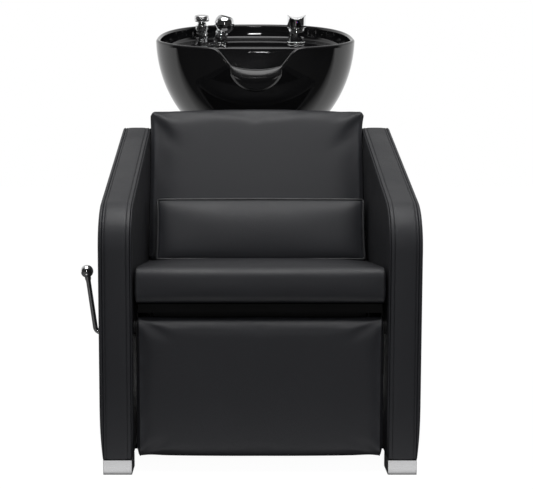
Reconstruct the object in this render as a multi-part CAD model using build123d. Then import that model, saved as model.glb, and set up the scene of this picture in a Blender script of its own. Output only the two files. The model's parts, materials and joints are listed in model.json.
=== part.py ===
from build123d import *
from math import cos, radians, sin, sqrt, tan
import os

# A salon hair washing bed: a padded seat between two upholstered arms, a padded
# leg rest worked by a side lever, and a tilting bowl with its taps behind the back.
# Millimetres, +Z up, the front faces -Y, +X is on the right of someone facing the front.
# Every piece is modelled with y counted rearwards from the front plane of the arms, and
# the finished pieces are moved so that the origin lies on the floor in the middle of
# the four floor bolts.

# Clearances
touch_gap = 0.3
running_gap = 1.0
pin_clearance = 0.05
open_pivot_clearance = 0.4
hole_clearance = 1.0
cut_overrun = 5.0
least_radius = 1.0

# Whole object
body_width = 660.0
foot_height = 30.0

# Arms: a plywood core between two pads, with a band sewn round the edge
arm_core_thickness = 20.0
arm_outer_pad_thickness = 22.0
arm_inner_pad_thickness = 27.5
arm_outer_roll = 8.0
arm_inner_roll = 4.0
arm_band_thickness = 12.0
arm_band_crown = 1.5
arm_floor_depth = 690.0
arm_top_depth = 630.0
arm_front_height = 540.0
arm_rear_height = 714.0
arm_front_radius = 100.0
arm_rear_radius = 35.0
arm_base_radius = 6.0
arm_seam_pinch = 1.5
arm_roll_softness = 16.0
arm_base_draw = 120.0
arm_crown_shares = [
    (0.0, 1.0, 0.0, 0.0),
    (0.2, 0.0, 0.0, 0.0),
    (0.6, 0.0, 0.16, 0.1),
    (0.85, 0.0, 0.4, 0.4),
    (1.0, 0.0, 1.0, 1.0),
]

# Feet
foot_length = 68.0
foot_setback = 2.0
foot_side_margin = 1.0
foot_edge_radius = 2.0

# Seat: a cushion on a board on two long rails and two cross rails
seat_board_height = 353.0
seat_board_thickness = 18.0
seat_board_inset = 6.0
seat_front_depth = 12.0
seat_rear_depth = 452.0
seat_front_thickness = 68.0
seat_rear_thickness = 38.0
seat_side_gap = 4.5
seat_edge_radius = 12.0
seat_end_radius = 9.0
seat_base_radius = 4.0
seat_crown = 5.0
seat_end_draw = 12.0
seat_crown_shares = [
    (0.0, 0.0, 0.0, 0.0),
    (0.5, 0.1, 0.0, 0.0),
    (0.8, 0.4, 0.02, 0.0),
    (0.93, 0.8, 0.1, 0.0),
    (0.975, 1.0, 0.3, 0.1),
    (0.993, 1.1, 0.6, 0.3),
    (1.0, 1.2, 1.0, 0.6),
]
rail_size = 30.0
rail_wall = 2.0
seat_rail_front_depth = 60.0
seat_rail_rear_depth = 446.0
seat_cross_inset = 50.0
spacer_diameter = 22.0
spacer_end_inset = 60.0
spacer_rear_inset = 46.0
bolt_diameter = 8.0
bolt_head_diameter = 15.0
bolt_head_height = 6.0

# Back: a leaning cushion on a board, carried by two rails between the arms
back_lean = 19.0
back_front_depth = 440.0
back_foot_rise = 42.0
back_height = 384.0
back_thickness = 75.0
back_side_gap = 2.0
back_arch = 9.0
back_crown = 7.0
back_edge_radius = 15.0
back_end_draw = 14.0
back_crown_shares = [
    (0.0, 0.0, 0.0, 0.0),
    (0.4, 0.15, 0.15, 0.0),
    (0.7, 0.45, 0.5, 0.0),
    (0.9, 0.8, 0.85, 0.05),
    (0.96, 0.9, 0.95, 0.2),
    (0.985, 0.97, 1.0, 0.5),
    (1.0, 1.0, 1.1, 1.0),
]
back_board_thickness = 15.0
back_board_margin = 16.0
back_board_foot = 10.0
back_board_top_margin = 36.0
back_rail_low = 22.0
back_rail_high = 142.0

# Lumbar pillow on the seat, against the back
pillow_half_width = 241.0
pillow_side_shift = 6.0
pillow_thickness = 80.0
pillow_front_low = -17.0
pillow_front_high = 130.0
pillow_rear_high = 146.0
pillow_seat_gap = 0.5
pillow_edge_radius = 26.0
pillow_crown = 8.0
pillow_end_draw = 20.0
pillow_crown_shares = [
    (0.0, 0.0, 0.0),
    (0.5, 0.1, 0.05),
    (0.8, 0.4, 0.2),
    (0.92, 0.8, 0.4),
    (0.975, 1.2, 0.65),
    (1.0, 2.0, 1.0),
]

# Leg rest: a pad round a board, hinged at the middle of its rounded top edge
legrest_thickness = 40.0
legrest_floor_gap = 28.0
legrest_board_thickness = 12.0
legrest_board_edge = 20.0
legrest_top_gap = 11.0
legrest_crown = 3.0
legrest_base_bow = 3.0
legrest_base_radius = 10.0
legrest_crown_shares = [
    (0.0, 0.0, 0.0, 0.0),
    (0.4, 0.15, 0.15, 0.0),
    (0.75, 0.5, 0.6, 0.0),
    (0.93, 1.0, 1.0, 0.0),
    (0.97, 1.5, 1.4, 0.1),
    (0.99, 2.2, 2.2, 0.4),
    (1.0, 3.0, 3.3, 1.0),
]
end_plate_thickness = 2.5
end_plate_length = 90.0
end_plate_eye_radius = 15.0
hinge_plate_thickness = 4.0
hinge_plate_lap = 55.0
hinge_pin_diameter = 10.0
hinge_arm_gap = 1.0

# Leg rest drive: a shaft turned by the side lever, with two cranks and two push links
shaft_depth = 200.0
shaft_drop = 42.0
shaft_diameter = 16.0
crank_reach = 30.0
crank_fall = 42.0
crank_thickness = 6.0
crank_eye_radius = 11.0
crank_boss_radius = 15.0
link_pin_diameter = 8.0
link_thickness = 6.0
link_width = 16.0
link_inner_offset = 171.0
lug_thickness = 5.0
lug_base_thickness = 3.0
lug_base_width = 40.0
lug_base_height = 70.0
bearing_plate_thickness = 10.0
bearing_plate_inset = 10.0
bearing_plate_width = 36.0
bearing_edge = 12.0
bush_diameter = 24.0
bush_flange_diameter = 36.0
bush_flange_thickness = 3.0
lever_rod_diameter = 11.0
lever_rod_grip = 26.0
lever_standoff = 27.0
lever_bend_radius = 14.0
lever_reach = 135.0
lever_flare = 18.5
lever_ball_diameter = 26.0
lever_bush_clearance = 0.5

# Base frame on the floor
cross_rail_length_y = 50.0
cross_rail_height = 30.0
long_rail_width = 40.0
long_rail_height = 30.0
tube_wall = 3.0
front_bolt_depth = 225.0
bolt_spacing_x = 480.0
bolt_spacing_y = 710.0
floor_bolt_hole_diameter = 11.0
middle_rail_setback = 110.0
post_size = 40.0
post_offset = 140.0
beam_drop = 35.0
beam_ear_thickness = 6.0

# Pedestal cover: sheet metal round the front and the sides of the posts
cover_half_width = 185.0
cover_length = 165.0
cover_front_gap = 90.0
cover_sheet = 2.0
cover_beam_gap = 21.2
cover_corner_radius = 20.0

# Bowl: sizes in its own frame, with u rearwards from the front rim and w up from the rim
bowl_tilt = 10.0
bowl_front_depth = 600.0
bowl_rim_rise = 545.0
bowl_half_width = 260.0
bowl_front_length = 205.0
bowl_rear_length = 348.0
bowl_depth = 265.0
bowl_wall_depth = 295.0
bowl_wall = 12.0
bowl_front_power = 2.05
bowl_rear_power = 2.6
bowl_arc_count = 12
bowl_level_shares = [0.0, 0.25, 0.5, 0.72, 0.88, 1.0]
deck_recess = 41.0
deck_length = 210.0
deck_wall_lean = 34.0
pocket_width = 120.0
pocket_length = 105.0
pocket_height = 75.0
notch_top_width = 208.0
notch_low_width = 112.0
notch_depth = 56.0
notch_radius = 16.0
neck_rest_width = 126.0
neck_rest_drop = 54.0
neck_rest_thickness = 12.0
neck_rest_hook = 6.0
neck_rest_saddle = 8.0
neck_rest_belly = 22.0
neck_rest_radius = 10.0
neck_rest_rise = 11.0

# Drain and strainer
drain_along = 178.0
drain_bore = 34.0
drain_hole_diameter = 46.0
drain_flange_diameter = 66.0
drain_flange_thickness = 3.0
drain_nut_diameter = 62.0
drain_nut_thickness = 10.0
drain_tail_diameter = 40.0
drain_tail_length = 60.0
strainer_diameter = 60.0
strainer_thickness = 2.0
strainer_spigot_diameter = 30.0
strainer_spigot_length = 12.0
strainer_hole_diameter = 5.0
strainer_ring_radius = 10.0
strainer_hole_count = 8

# Tilt bracket under the bowl
pivot_along = 240.0
pivot_below_bowl = 35.0
pivot_pin_diameter = 12.0
pivot_overhang = 6.0
bracket_plate_thickness = 6.0
bracket_half_width = 77.0
bracket_front = 214.0
bracket_rear = 330.0
bracket_ear_thickness = 6.0
bracket_ear_width = 44.0
bracket_ear_radius = 15.0

# Taps on the deck, placed across the bowl and along it
tap_rear_gap = 106.0
tap_base_thickness = 5.0
tap_base_length = 44.0
tap_base_left = -168.0
tap_base_right = -75.0
tap_shank_diameter = 20.0
tap_shank_length = 34.0
tap_nut_diameter = 28.0
tap_nut_thickness = 8.0
breaker_offset = -147.0
breaker_body_diameter = 33.0
breaker_body_height = 32.0
breaker_collar_diameter = 36.0
breaker_collar_height = 12.0
breaker_neck_diameter = 27.0
breaker_neck_height = 10.0
breaker_cap_diameter = 43.0
breaker_cap_height = 19.0
breaker_edge_radius = 3.0
holder_offset = -98.0
holder_lean = 15.0
holder_diameter = 35.0
holder_bore = 23.0
holder_below = 26.0
handset_head_diameter = 56.0
handset_head_rise = 55.0
handset_shank_diameter = 22.0
handset_face_diameter = 34.0
handset_face_drop = 3.0
handset_face_thickness = 4.0
mixer_offset = 119.0
mixer_flange_diameter = 50.0
mixer_flange_height = 4.0
mixer_body_diameter = 46.0
mixer_body_height = 38.0
mixer_shoulder = 4.0
mixer_handle_diameter = 52.0
mixer_handle_height = 37.0
mixer_handle_gap = 0.5
mixer_dish_depth = 10.0
mixer_cavity_diameter = 38.0
mixer_cavity_height = 12.0
cartridge_diameter = 24.0
cartridge_height = 10.0
cartridge_neck_diameter = 16.0
cartridge_neck_depth = 8.0
inlet_diameter = 21.0
inlet_spacing = 30.0
inlet_length = 40.0

# Places across the object
arm_outer_x = body_width / 2
core_outer_x = arm_outer_x - arm_outer_pad_thickness
core_inner_x = core_outer_x - arm_core_thickness
arm_inner_x = core_inner_x - arm_inner_pad_thickness
band_outer_x = arm_outer_x - arm_outer_roll
band_inner_x = arm_inner_x + arm_inner_roll
seat_half_width = arm_inner_x - seat_side_gap
back_half_width = arm_inner_x - back_side_gap
hinge_plate_outer_x = arm_inner_x - hinge_arm_gap
side_rail_outer_x = hinge_plate_outer_x - hinge_plate_thickness
side_rail_inner_x = side_rail_outer_x - rail_size
end_plate_outer_x = side_rail_outer_x - running_gap
legrest_half_width = end_plate_outer_x - end_plate_thickness
link_outer_x = link_inner_offset + link_thickness
crank_inner_x = link_outer_x + running_gap
crank_outer_x = crank_inner_x + crank_thickness
lug_outer_x = link_inner_offset - running_gap
lug_inner_x = lug_outer_x - lug_thickness

# Places in height and depth
back_foot_height = seat_board_height + back_foot_rise
bowl_rim_height = seat_board_height + bowl_rim_rise
bowl_length = bowl_front_length + bowl_rear_length
deck_front = bowl_length - deck_length
tap_along = bowl_length - tap_rear_gap
board_bottom = seat_board_height - seat_board_thickness
rail_bottom = board_bottom - rail_size
legrest_radius = legrest_thickness / 2
hinge_depth = seat_front_depth + legrest_radius
hinge_height = board_bottom - legrest_top_gap - legrest_radius
legrest_rear = seat_front_depth + legrest_thickness
shaft_height = hinge_height - shaft_drop
post_depth = bowl_front_depth + pivot_along * cos(radians(bowl_tilt)) + (
    bowl_depth + pivot_below_bowl
) * sin(radians(bowl_tilt))
pivot_height = bowl_rim_height + pivot_along * sin(radians(bowl_tilt)) - (
    bowl_depth + pivot_below_bowl
) * cos(radians(bowl_tilt))
long_rail_top = cross_rail_height + long_rail_height
beam_top = pivot_height - beam_drop
beam_bottom = beam_top - post_size
cover_top_height = beam_bottom - cover_beam_gap
front_setback = front_bolt_depth + bolt_spacing_y / 2
rear_bolt_depth = front_bolt_depth + bolt_spacing_y
deck_level = -deck_recess
bowl_floor = bowl_wall - bowl_depth


# Shared shapes


def block(x_limits, y_limits, z_limits):
    """Box between a low and a high limit along each axis."""
    limits = (x_limits, y_limits, z_limits)
    middle = [(low + high) / 2 for low, high in limits]
    return Pos(*middle) * Box(*[high - low for low, high in limits])


def tube(x_limits, y_limits, z_limits, wall, axis):
    """Rectangular tube that runs along the numbered axis and is open at both ends."""
    limits = [x_limits, y_limits, z_limits]
    bore = [
        (low - cut_overrun, high + cut_overrun) if index == axis else (low + wall, high - wall)
        for index, (low, high) in enumerate(limits)
    ]
    return block(*limits) - block(*bore)


def rod_across(diameter, x_start, x_end, y, z):
    """Round bar along X between two places."""
    face = Plane(origin=(x_start, y, z), x_dir=(0, 1, 0), z_dir=(1, 0, 0)) * Circle(diameter / 2)
    return extrude(face, amount=x_end - x_start)


def side_face(x, points, radii):
    """Face in the plane across X at x, bounded by lines with a tangent arc at each corner."""
    plane = Plane(origin=(x, 0, 0), x_dir=(0, 1, 0), z_dir=(1, 0, 0))
    return plane * Sketch([rounded_face(points, radii)])


def rounded_face(points, radii):
    """Flat face on XY bounded by straight lines with a tangent arc at each corner."""
    corners = []
    for index, point in enumerate(points):
        corner = Vector(*point)
        before = (Vector(*points[index - 1]) - corner).normalized()
        after = (Vector(*points[(index + 1) % len(points)]) - corner).normalized()
        half_angle = radians(before.get_angle(after)) / 2
        reach = radii[index] / tan(half_angle)
        bulge = radii[index] / sin(half_angle) - radii[index]
        middle = corner + (before + after).normalized() * bulge
        corners.append((corner + before * reach, middle, corner + after * reach))
    edges = []
    for index, (start, middle, end) in enumerate(corners):
        following = corners[(index + 1) % len(corners)][0]
        edges.append(ThreePointArc(start, middle, end))
        edges.append(Line(end, following))
    return Face(Wire(edges))


def moved_edges(points, distances):
    """Outline given anticlockwise, with each edge moved inwards by its own distance."""
    count = len(points)
    lines = []
    for index in range(count):
        start = Vector(*points[index])
        along = (Vector(*points[(index + 1) % count]) - start).normalized()
        inward = Vector(-along.Y, along.X)
        lines.append((start + inward * distances[index], along))
    moved = []
    for index in range(count):
        start, along = lines[index - 1]
        other, across = lines[index]
        turn = along.X * across.Y - along.Y * across.X
        gap = other - start
        reach = (gap.X * across.Y - gap.Y * across.X) / turn
        corner = start + along * reach
        moved.append((corner.X, corner.Y))
    return moved


def shrunk_radii(radii, distances):
    """Corner radii of an outline after its edges have moved inwards."""
    shrunk = []
    for index, radius in enumerate(radii):
        inset = max(distances[index - 1], distances[index])
        shrunk.append(max(radius - inset, least_radius))
    return shrunk


def pad_across(half_width, outline, radii, stations):
    """Soft solid across X: ruled loft of an outline whose edges draw in towards both ends.

    Each station holds a share of the half width and the distance of each edge there."""
    other_half = [(-share, insets) for share, insets in reversed(stations) if share > 0]
    faces = []
    for share, insets in other_half + stations:
        points = moved_edges(outline, insets)
        faces.append(side_face(share * half_width, points, shrunk_radii(radii, insets)))
    return loft(faces, ruled=True)


def plate_across(x_low, x_high, centres, radii):
    """Flat plate across X: the hull of round ends on (y, z) centres."""
    plane = Plane(origin=(x_low, 0, 0), x_dir=(0, 1, 0), z_dir=(1, 0, 0))
    edges = []
    for (y, z), radius in zip(centres, radii):
        edges.extend((Pos(y, z) * Circle(radius)).edges())
    return extrude(plane * make_hull(edges), amount=x_high - x_low)


def mirrored(shape):
    """The same piece on the other side of the object."""
    return mirror(shape, about=Plane.YZ)


# Arms


def arm_outline():
    """Corners of the arm seen from the side, anticlockwise from the front foot."""
    return [
        (0, foot_height),
        (arm_floor_depth, foot_height),
        (arm_top_depth, arm_rear_height),
        (0, arm_front_height),
    ]


def arm_section(x, base, edge):
    """Section of the arm at x, drawn in at the base and round the rest of its edge."""
    insets = [base, edge, edge, edge]
    radii = [arm_base_radius, arm_base_radius, arm_rear_radius, arm_front_radius]
    return side_face(x, moved_edges(arm_outline(), insets), shrunk_radii(radii, insets))


def arm_slab(x_low, x_high, edge):
    """Part of the arm between two places, set in by the same amount round its edge."""
    return extrude(arm_section(x_low, 0, edge), amount=x_high - x_low)


def arm_roll(x_seam, bulge, direction):
    """Soft bulge of a side pad past the band, from the seam out to its crown."""
    faces = []
    for bulge_share, pinch_share, draw_share, soft_share in arm_crown_shares:
        edge = pinch_share * arm_seam_pinch + soft_share * arm_roll_softness
        base = draw_share * arm_base_draw
        faces.append(arm_section(x_seam + direction * bulge_share * bulge, base, edge))
    return loft(faces, ruled=True)


def arm_core():
    return arm_slab(core_inner_x, core_outer_x, arm_band_thickness)


def arm_outer_pad():
    slab = arm_slab(core_outer_x, band_outer_x, arm_band_thickness)
    return slab + arm_roll(band_outer_x, arm_outer_roll, 1)


def arm_inner_pad():
    """Inner pad with holes for the seat's spacers and for the two back rails."""
    slab = arm_slab(band_inner_x, core_inner_x, arm_band_thickness)
    pad = slab + arm_roll(band_inner_x, arm_inner_roll, -1)
    hole = spacer_diameter + hole_clearance
    for place in spacer_places():
        pad -= rod_across(hole, arm_inner_x - cut_overrun, core_inner_x, *place)
    for low in (back_rail_low, back_rail_high):
        pad -= back_rail_hole(low)
    return pad


def arm_band():
    middle = (band_inner_x + band_outer_x) / 2
    crowned = [
        arm_section(band_inner_x, 0, arm_band_crown),
        arm_section(middle, 0, 0),
        arm_section(band_outer_x, 0, arm_band_crown),
    ]
    return loft(crowned, ruled=True) - arm_slab(band_inner_x, band_outer_x, arm_band_thickness)


def shaft_hole(diameter):
    """Bore through the arm on the lever side, for the drive shaft and its bush."""
    x_start = -arm_outer_x - cut_overrun
    return rod_across(diameter, x_start, -arm_inner_x + cut_overrun, shaft_depth, shaft_height)


def foot(y_low):
    low = band_inner_x - foot_side_margin
    high = band_outer_x + foot_side_margin
    shape = block((low, high), (y_low, y_low + foot_length), (0, foot_height))
    return fillet(shape.edges().filter_by(Axis.Z), foot_edge_radius)


def feet():
    front = foot(foot_setback)
    rear = foot(arm_floor_depth - foot_setback - foot_length)
    return [front, rear, mirrored(front), mirrored(rear)]


# Seat


def seat_top_height(depth):
    """Height of the seat's top plane at a depth, before its crown."""
    fall = (seat_front_thickness - seat_rear_thickness) / (seat_rear_depth - seat_front_depth)
    return seat_board_height + seat_front_thickness - fall * (depth - seat_front_depth)


def seat_cushion():
    outline = [
        (seat_front_depth, seat_board_height),
        (seat_rear_depth, seat_board_height),
        (seat_rear_depth, seat_board_height + seat_rear_thickness),
        (seat_front_depth, seat_board_height + seat_front_thickness),
    ]
    radii = [seat_base_radius, seat_base_radius, seat_end_radius, seat_edge_radius]
    stations = []
    for share, top, front, base in seat_crown_shares:
        draw = front * seat_end_draw
        stations.append((share, [base * seat_base_radius, draw, top * seat_crown, draw]))
    return pad_across(seat_half_width, outline, radii, stations)


def seat_board():
    half = seat_half_width - seat_board_inset
    lengthwise = (seat_front_depth + seat_board_inset, seat_rear_depth - seat_board_inset)
    return block((-half, half), lengthwise, (board_bottom, seat_board_height))


def seat_side_rail():
    lengthwise = (seat_rail_front_depth, seat_rail_rear_depth)
    rail = tube(
        (side_rail_inner_x, side_rail_outer_x), lengthwise, (rail_bottom, board_bottom), rail_wall, 1
    )
    for place in spacer_places():
        rail -= rod_across(bolt_diameter, side_rail_inner_x - cut_overrun, arm_inner_x, *place)
    return rail


def seat_cross_rail(depth):
    across = (-side_rail_inner_x, side_rail_inner_x)
    return tube(across, (depth, depth + rail_size), (rail_bottom, board_bottom), rail_wall, 0)


def spacer_places():
    """Depth and height of the bolts that hold the seat rails to the arms."""
    height = rail_bottom + rail_size / 2
    front = seat_rail_front_depth + seat_cross_inset + spacer_end_inset
    return [(front, height), (seat_rail_rear_depth - spacer_rear_inset, height)]


def frame_spacers():
    """Tubes that carry the seat rails off the cores, through the inner pads."""
    solids = []
    for place in spacer_places():
        spacer = rod_across(spacer_diameter, side_rail_outer_x, core_inner_x, *place)
        spacer -= rod_across(bolt_diameter, side_rail_outer_x, core_inner_x, *place)
        solids += [spacer, mirrored(spacer)]
    return solids


def frame_bolts():
    """Bolts from inside the seat rails, through the spacers, up to the cores."""
    solids = []
    for place in spacer_places():
        head_start = side_rail_inner_x - bolt_head_height
        head = rod_across(bolt_head_diameter, head_start, side_rail_inner_x, *place)
        bolt = head + rod_across(bolt_diameter, side_rail_inner_x, core_inner_x, *place)
        solids += [bolt, mirrored(bolt)]
    return solids


# Back


def leaned(shape):
    """Move a piece from the back's own frame, with z up the back, to its leaning place."""
    return Pos(0, back_front_depth, back_foot_height) * Rot(X=-back_lean) * shape


def back_cushion():
    outline = [(0, 0), (back_thickness, 0), (back_thickness, back_height), (0, back_height)]
    radii = [back_edge_radius] * len(outline)
    stations = []
    for share, front, top, end in back_crown_shares:
        draw = end * back_end_draw
        stations.append((share, [draw, end * least_radius, top * back_arch, front * back_crown]))
    return leaned(pad_across(back_half_width, outline, radii, stations))


def back_board():
    half = back_half_width - back_board_margin
    through = (back_thickness, back_thickness + back_board_thickness)
    return leaned(block((-half, half), through, (back_board_foot, back_height - back_board_top_margin)))


def back_rail(low):
    """Rail between the two cores, behind the back board."""
    front = back_thickness + back_board_thickness
    across = (-core_inner_x, core_inner_x)
    return leaned(tube(across, (front, front + rail_size), (low, low + rail_size), rail_wall, 0))


def back_rail_hole(low):
    """Square hole that a back rail passes through in an inner pad."""
    front = back_thickness + back_board_thickness - hole_clearance
    size = rail_size + 2 * hole_clearance
    bottom = low - hole_clearance
    return leaned(block((0, core_inner_x), (front, front + size), (bottom, bottom + size)))


def lumbar_pillow():
    lean = radians(back_lean)
    seat_touch = seat_top_height(back_front_depth) - back_foot_height + pillow_seat_gap
    rear_low = seat_touch / cos(lean)
    outline = [
        (-pillow_thickness - touch_gap, pillow_front_low),
        (-touch_gap, rear_low),
        (-touch_gap, pillow_rear_high),
        (-pillow_thickness - touch_gap, pillow_front_high),
    ]
    radii = [pillow_edge_radius] * len(outline)
    stations = []
    for share, face, end in pillow_crown_shares:
        draw = end * pillow_end_draw
        stations.append((share, [draw / 2, draw / 2, draw / 2 + face, face * pillow_crown]))
    pad = pad_across(pillow_half_width, outline, radii, stations)
    return Pos(pillow_side_shift, 0, 0) * leaned(pad)


# Leg rest


def legrest_pad():
    top = hinge_height + legrest_radius
    outline = [
        (seat_front_depth, legrest_floor_gap),
        (legrest_rear, legrest_floor_gap),
        (legrest_rear, top),
        (seat_front_depth, top),
    ]
    top_radius = legrest_radius - touch_gap
    radii = [legrest_base_radius, legrest_base_radius, top_radius, top_radius]
    stations = []
    for share, front, base, end in legrest_crown_shares:
        draw = end * legrest_crown
        stations.append((share, [base * legrest_base_bow, 0, draw, front * legrest_crown]))
    return pad_across(legrest_half_width, outline, radii, stations) - legrest_board()


def legrest_board():
    upward = (legrest_floor_gap + legrest_board_edge + legrest_base_bow, hinge_height)
    through = (legrest_rear - legrest_board_thickness, legrest_rear)
    return block((-legrest_half_width, legrest_half_width), through, upward)


def legrest_end_plate():
    """Plate on the end of the leg rest with the pin that it turns on."""
    eye = (hinge_depth, hinge_height)
    foot_place = (legrest_rear - end_plate_eye_radius, hinge_height - end_plate_length)
    radii = [end_plate_eye_radius, end_plate_eye_radius]
    plate = plate_across(legrest_half_width, end_plate_outer_x, [eye, foot_place], radii)
    return plate + rod_across(hinge_pin_diameter, end_plate_outer_x, hinge_plate_outer_x, *eye)


def hinge_bracket():
    """Fixed plate on the outer face of the seat's long rail, with the bore for the pin."""
    eye = (hinge_depth, hinge_height)
    rail_middle = rail_bottom + rail_size / 2
    tail = (seat_rail_front_depth + hinge_plate_lap, rail_middle)
    radii = [end_plate_eye_radius, rail_size / 2]
    plate = plate_across(side_rail_outer_x, hinge_plate_outer_x, [eye, tail], radii)
    bore = hinge_pin_diameter + 2 * pin_clearance
    return plate - rod_across(bore, legrest_half_width, arm_inner_x, *eye)


def lug_pin_place():
    return (hinge_depth + crank_reach, hinge_height - crank_fall)


def crank_pin_place():
    return (shaft_depth + crank_reach, shaft_height - crank_fall)


def legrest_lug():
    """Lug on the back of the leg rest's board, with the pin for the push link."""
    y, z = lug_pin_place()
    half = lug_base_height / 2
    eye_radius = y - legrest_rear
    through = (legrest_rear, legrest_rear + lug_base_thickness)
    base = block((lug_outer_x - lug_base_width, lug_outer_x), through, (z - half, z + half))
    centres = [(y, z), (y, z + half / 2), (y, z - half / 2)]
    ear = plate_across(lug_inner_x, lug_outer_x, centres, [eye_radius] * len(centres))
    pin = rod_across(link_pin_diameter, lug_outer_x, link_outer_x, y, z)
    return base + ear + pin


# Leg rest drive


def drive_shaft():
    """Shaft with its two cranks welded on, and a socket for the lever's rod."""
    x_lever = -arm_outer_x + bush_flange_thickness
    x_far = side_rail_outer_x - bearing_plate_inset
    shaft = rod_across(shaft_diameter, x_lever, x_far, shaft_depth, shaft_height)
    socket_end = x_lever + lever_rod_grip
    shaft -= rod_across(lever_rod_diameter, x_lever, socket_end, shaft_depth, shaft_height)
    pin = crank_pin_place()
    centres = [(shaft_depth, shaft_height), pin]
    radii = [crank_boss_radius, crank_eye_radius]
    crank = plate_across(crank_inner_x, crank_outer_x, centres, radii)
    crank += rod_across(link_pin_diameter, link_inner_offset, crank_inner_x, *pin)
    return shaft + crank + mirrored(crank)


def push_link():
    """Bar from the crank pin to the leg rest's lug pin, which it holds with some play."""
    ends = [lug_pin_place(), crank_pin_place()]
    radii = [link_width / 2, link_width / 2]
    bar = plate_across(link_inner_offset, link_outer_x, ends, radii)
    for place, clearance in zip(ends, (open_pivot_clearance, pin_clearance)):
        bar -= rod_across(link_pin_diameter + 2 * clearance, lug_inner_x, crank_outer_x, *place)
    return bar


def shaft_bearing():
    """Plate hung under the long rail, with the bore that the drive shaft turns in."""
    x_high = side_rail_outer_x - bearing_plate_inset
    x_low = x_high - bearing_plate_thickness
    half = bearing_plate_width / 2
    low = shaft_height - shaft_diameter / 2 - bearing_edge
    plate = block((x_low, x_high), (shaft_depth - half, shaft_depth + half), (low, rail_bottom))
    bore = shaft_diameter + 2 * pin_clearance
    return plate - rod_across(bore, x_low - cut_overrun, x_high + cut_overrun, shaft_depth, shaft_height)


def lever_bush():
    """Flanged bush in the arm on the lever side, which the shaft and the rod turn in."""
    barrel = rod_across(bush_diameter, -arm_outer_x, -core_inner_x, shaft_depth, shaft_height)
    flange_x = -arm_outer_x - bush_flange_thickness
    flange = rod_across(bush_flange_diameter, flange_x, -arm_outer_x, shaft_depth, shaft_height)
    shaft_bore = rod_across(
        shaft_diameter + 2 * pin_clearance,
        -arm_outer_x + bush_flange_thickness - running_gap,
        -core_inner_x,
        shaft_depth,
        shaft_height,
    )
    rod_bore_diameter = lever_rod_diameter + 2 * lever_bush_clearance
    rod_bore = rod_across(rod_bore_diameter, flange_x, -core_inner_x, shaft_depth, shaft_height)
    return barrel + flange - shaft_bore - rod_bore


def lever_path():
    """Middle line of the lever's rod, out of the arm and up to the ball."""
    socket_x = -arm_outer_x + bush_flange_thickness + lever_rod_grip
    bend_x = -arm_outer_x - lever_standoff
    return FilletPolyline(
        (socket_x, shaft_depth, shaft_height),
        (bend_x, shaft_depth, shaft_height),
        (bend_x - lever_flare, shaft_depth, shaft_height + lever_reach),
        radius=lever_bend_radius,
    )


def lever_rod():
    path = lever_path()
    section = Plane(origin=path @ 0, z_dir=path % 0) * Circle(lever_rod_diameter / 2)
    return sweep(section, path=path)


def lever_knob():
    place = lever_path() @ 1
    return Pos(place.X, place.Y, place.Z) * Sphere(lever_ball_diameter / 2) - lever_rod()


# Base frame


def base_cross_rail(middle_depth, bolted):
    """Cross rail on the floor that carries both cores, drilled where it is bolted down."""
    half = cross_rail_length_y / 2
    rail = tube(
        (-core_outer_x, core_outer_x),
        (middle_depth - half, middle_depth + half),
        (0, cross_rail_height),
        tube_wall,
        0,
    )
    if bolted:
        for x in (-bolt_spacing_x / 2, bolt_spacing_x / 2):
            hole = Cylinder(floor_bolt_hole_diameter / 2, 2 * cross_rail_height + cut_overrun)
            rail -= Pos(x, middle_depth, 0) * hole
    return rail


def base_long_rail():
    half = long_rail_width / 2
    start = front_bolt_depth - cross_rail_length_y / 2
    end = rear_bolt_depth + cross_rail_length_y / 2
    across = (post_offset - half, post_offset + half)
    return tube(across, (start, end), (cross_rail_height, long_rail_top), tube_wall, 1)


def post():
    half = post_size / 2
    across = (post_offset - half, post_offset + half)
    lengthwise = (post_depth - half, post_depth + half)
    return tube(across, lengthwise, (long_rail_top, beam_bottom), tube_wall, 2)


def bowl_beam():
    """Beam on the posts with two ears that hold the tilt pin."""
    half = post_size / 2
    reach = post_offset + half
    lengthwise = (post_depth - half, post_depth + half)
    beam = tube((-reach, reach), lengthwise, (beam_bottom, beam_top), tube_wall, 0)
    low = bracket_half_width + running_gap
    high = low + beam_ear_thickness
    head = rod_across(2 * bracket_ear_radius, low, high, post_depth, pivot_height)
    stem_limits = (post_depth - bracket_ear_radius, post_depth + bracket_ear_radius)
    stem = block((low, high), stem_limits, (beam_top, pivot_height))
    bore = rod_across(pivot_pin_diameter, 0, reach, post_depth, pivot_height)
    ear = head + stem - bore
    return beam + ear + mirrored(ear)


def tilt_pin():
    reach = bracket_half_width + running_gap + beam_ear_thickness + pivot_overhang
    return rod_across(pivot_pin_diameter, -reach, reach, post_depth, pivot_height)


def pedestal_cover():
    """Sheet round the front and sides of the posts, open behind and above."""
    front = post_depth - cover_front_gap
    half = cover_half_width
    rear = front + cover_length
    outline = [(-half, front), (half, front), (half, rear), (-half, rear)]
    bend = cover_corner_radius - cover_sheet
    inside = moved_edges(outline, [cover_sheet, cover_sheet, -cut_overrun, cover_sheet])
    outer = upright(outline, [cover_corner_radius, cover_corner_radius, least_radius, least_radius])
    return outer - upright(inside, [bend, bend, least_radius, least_radius])


def upright(outline, radii):
    """Prism from the top of the long rails to the top of the pedestal cover."""
    face = Pos(0, 0, long_rail_top) * Sketch([rounded_face(outline, radii)])
    return extrude(face, amount=cover_top_height - long_rail_top)


# Bowl, in its own frame until it is placed


def placed_bowl(shape):
    """Move a piece from the bowl's frame, with z up from the rim, to its tilted place."""
    return Pos(0, bowl_front_depth, bowl_rim_height) * Rot(X=bowl_tilt) * shape


def signed_power(value, power):
    """Power of a number's size, with the number's sign."""
    size = abs(value) ** power
    return size if value > 0 else -size


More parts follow.
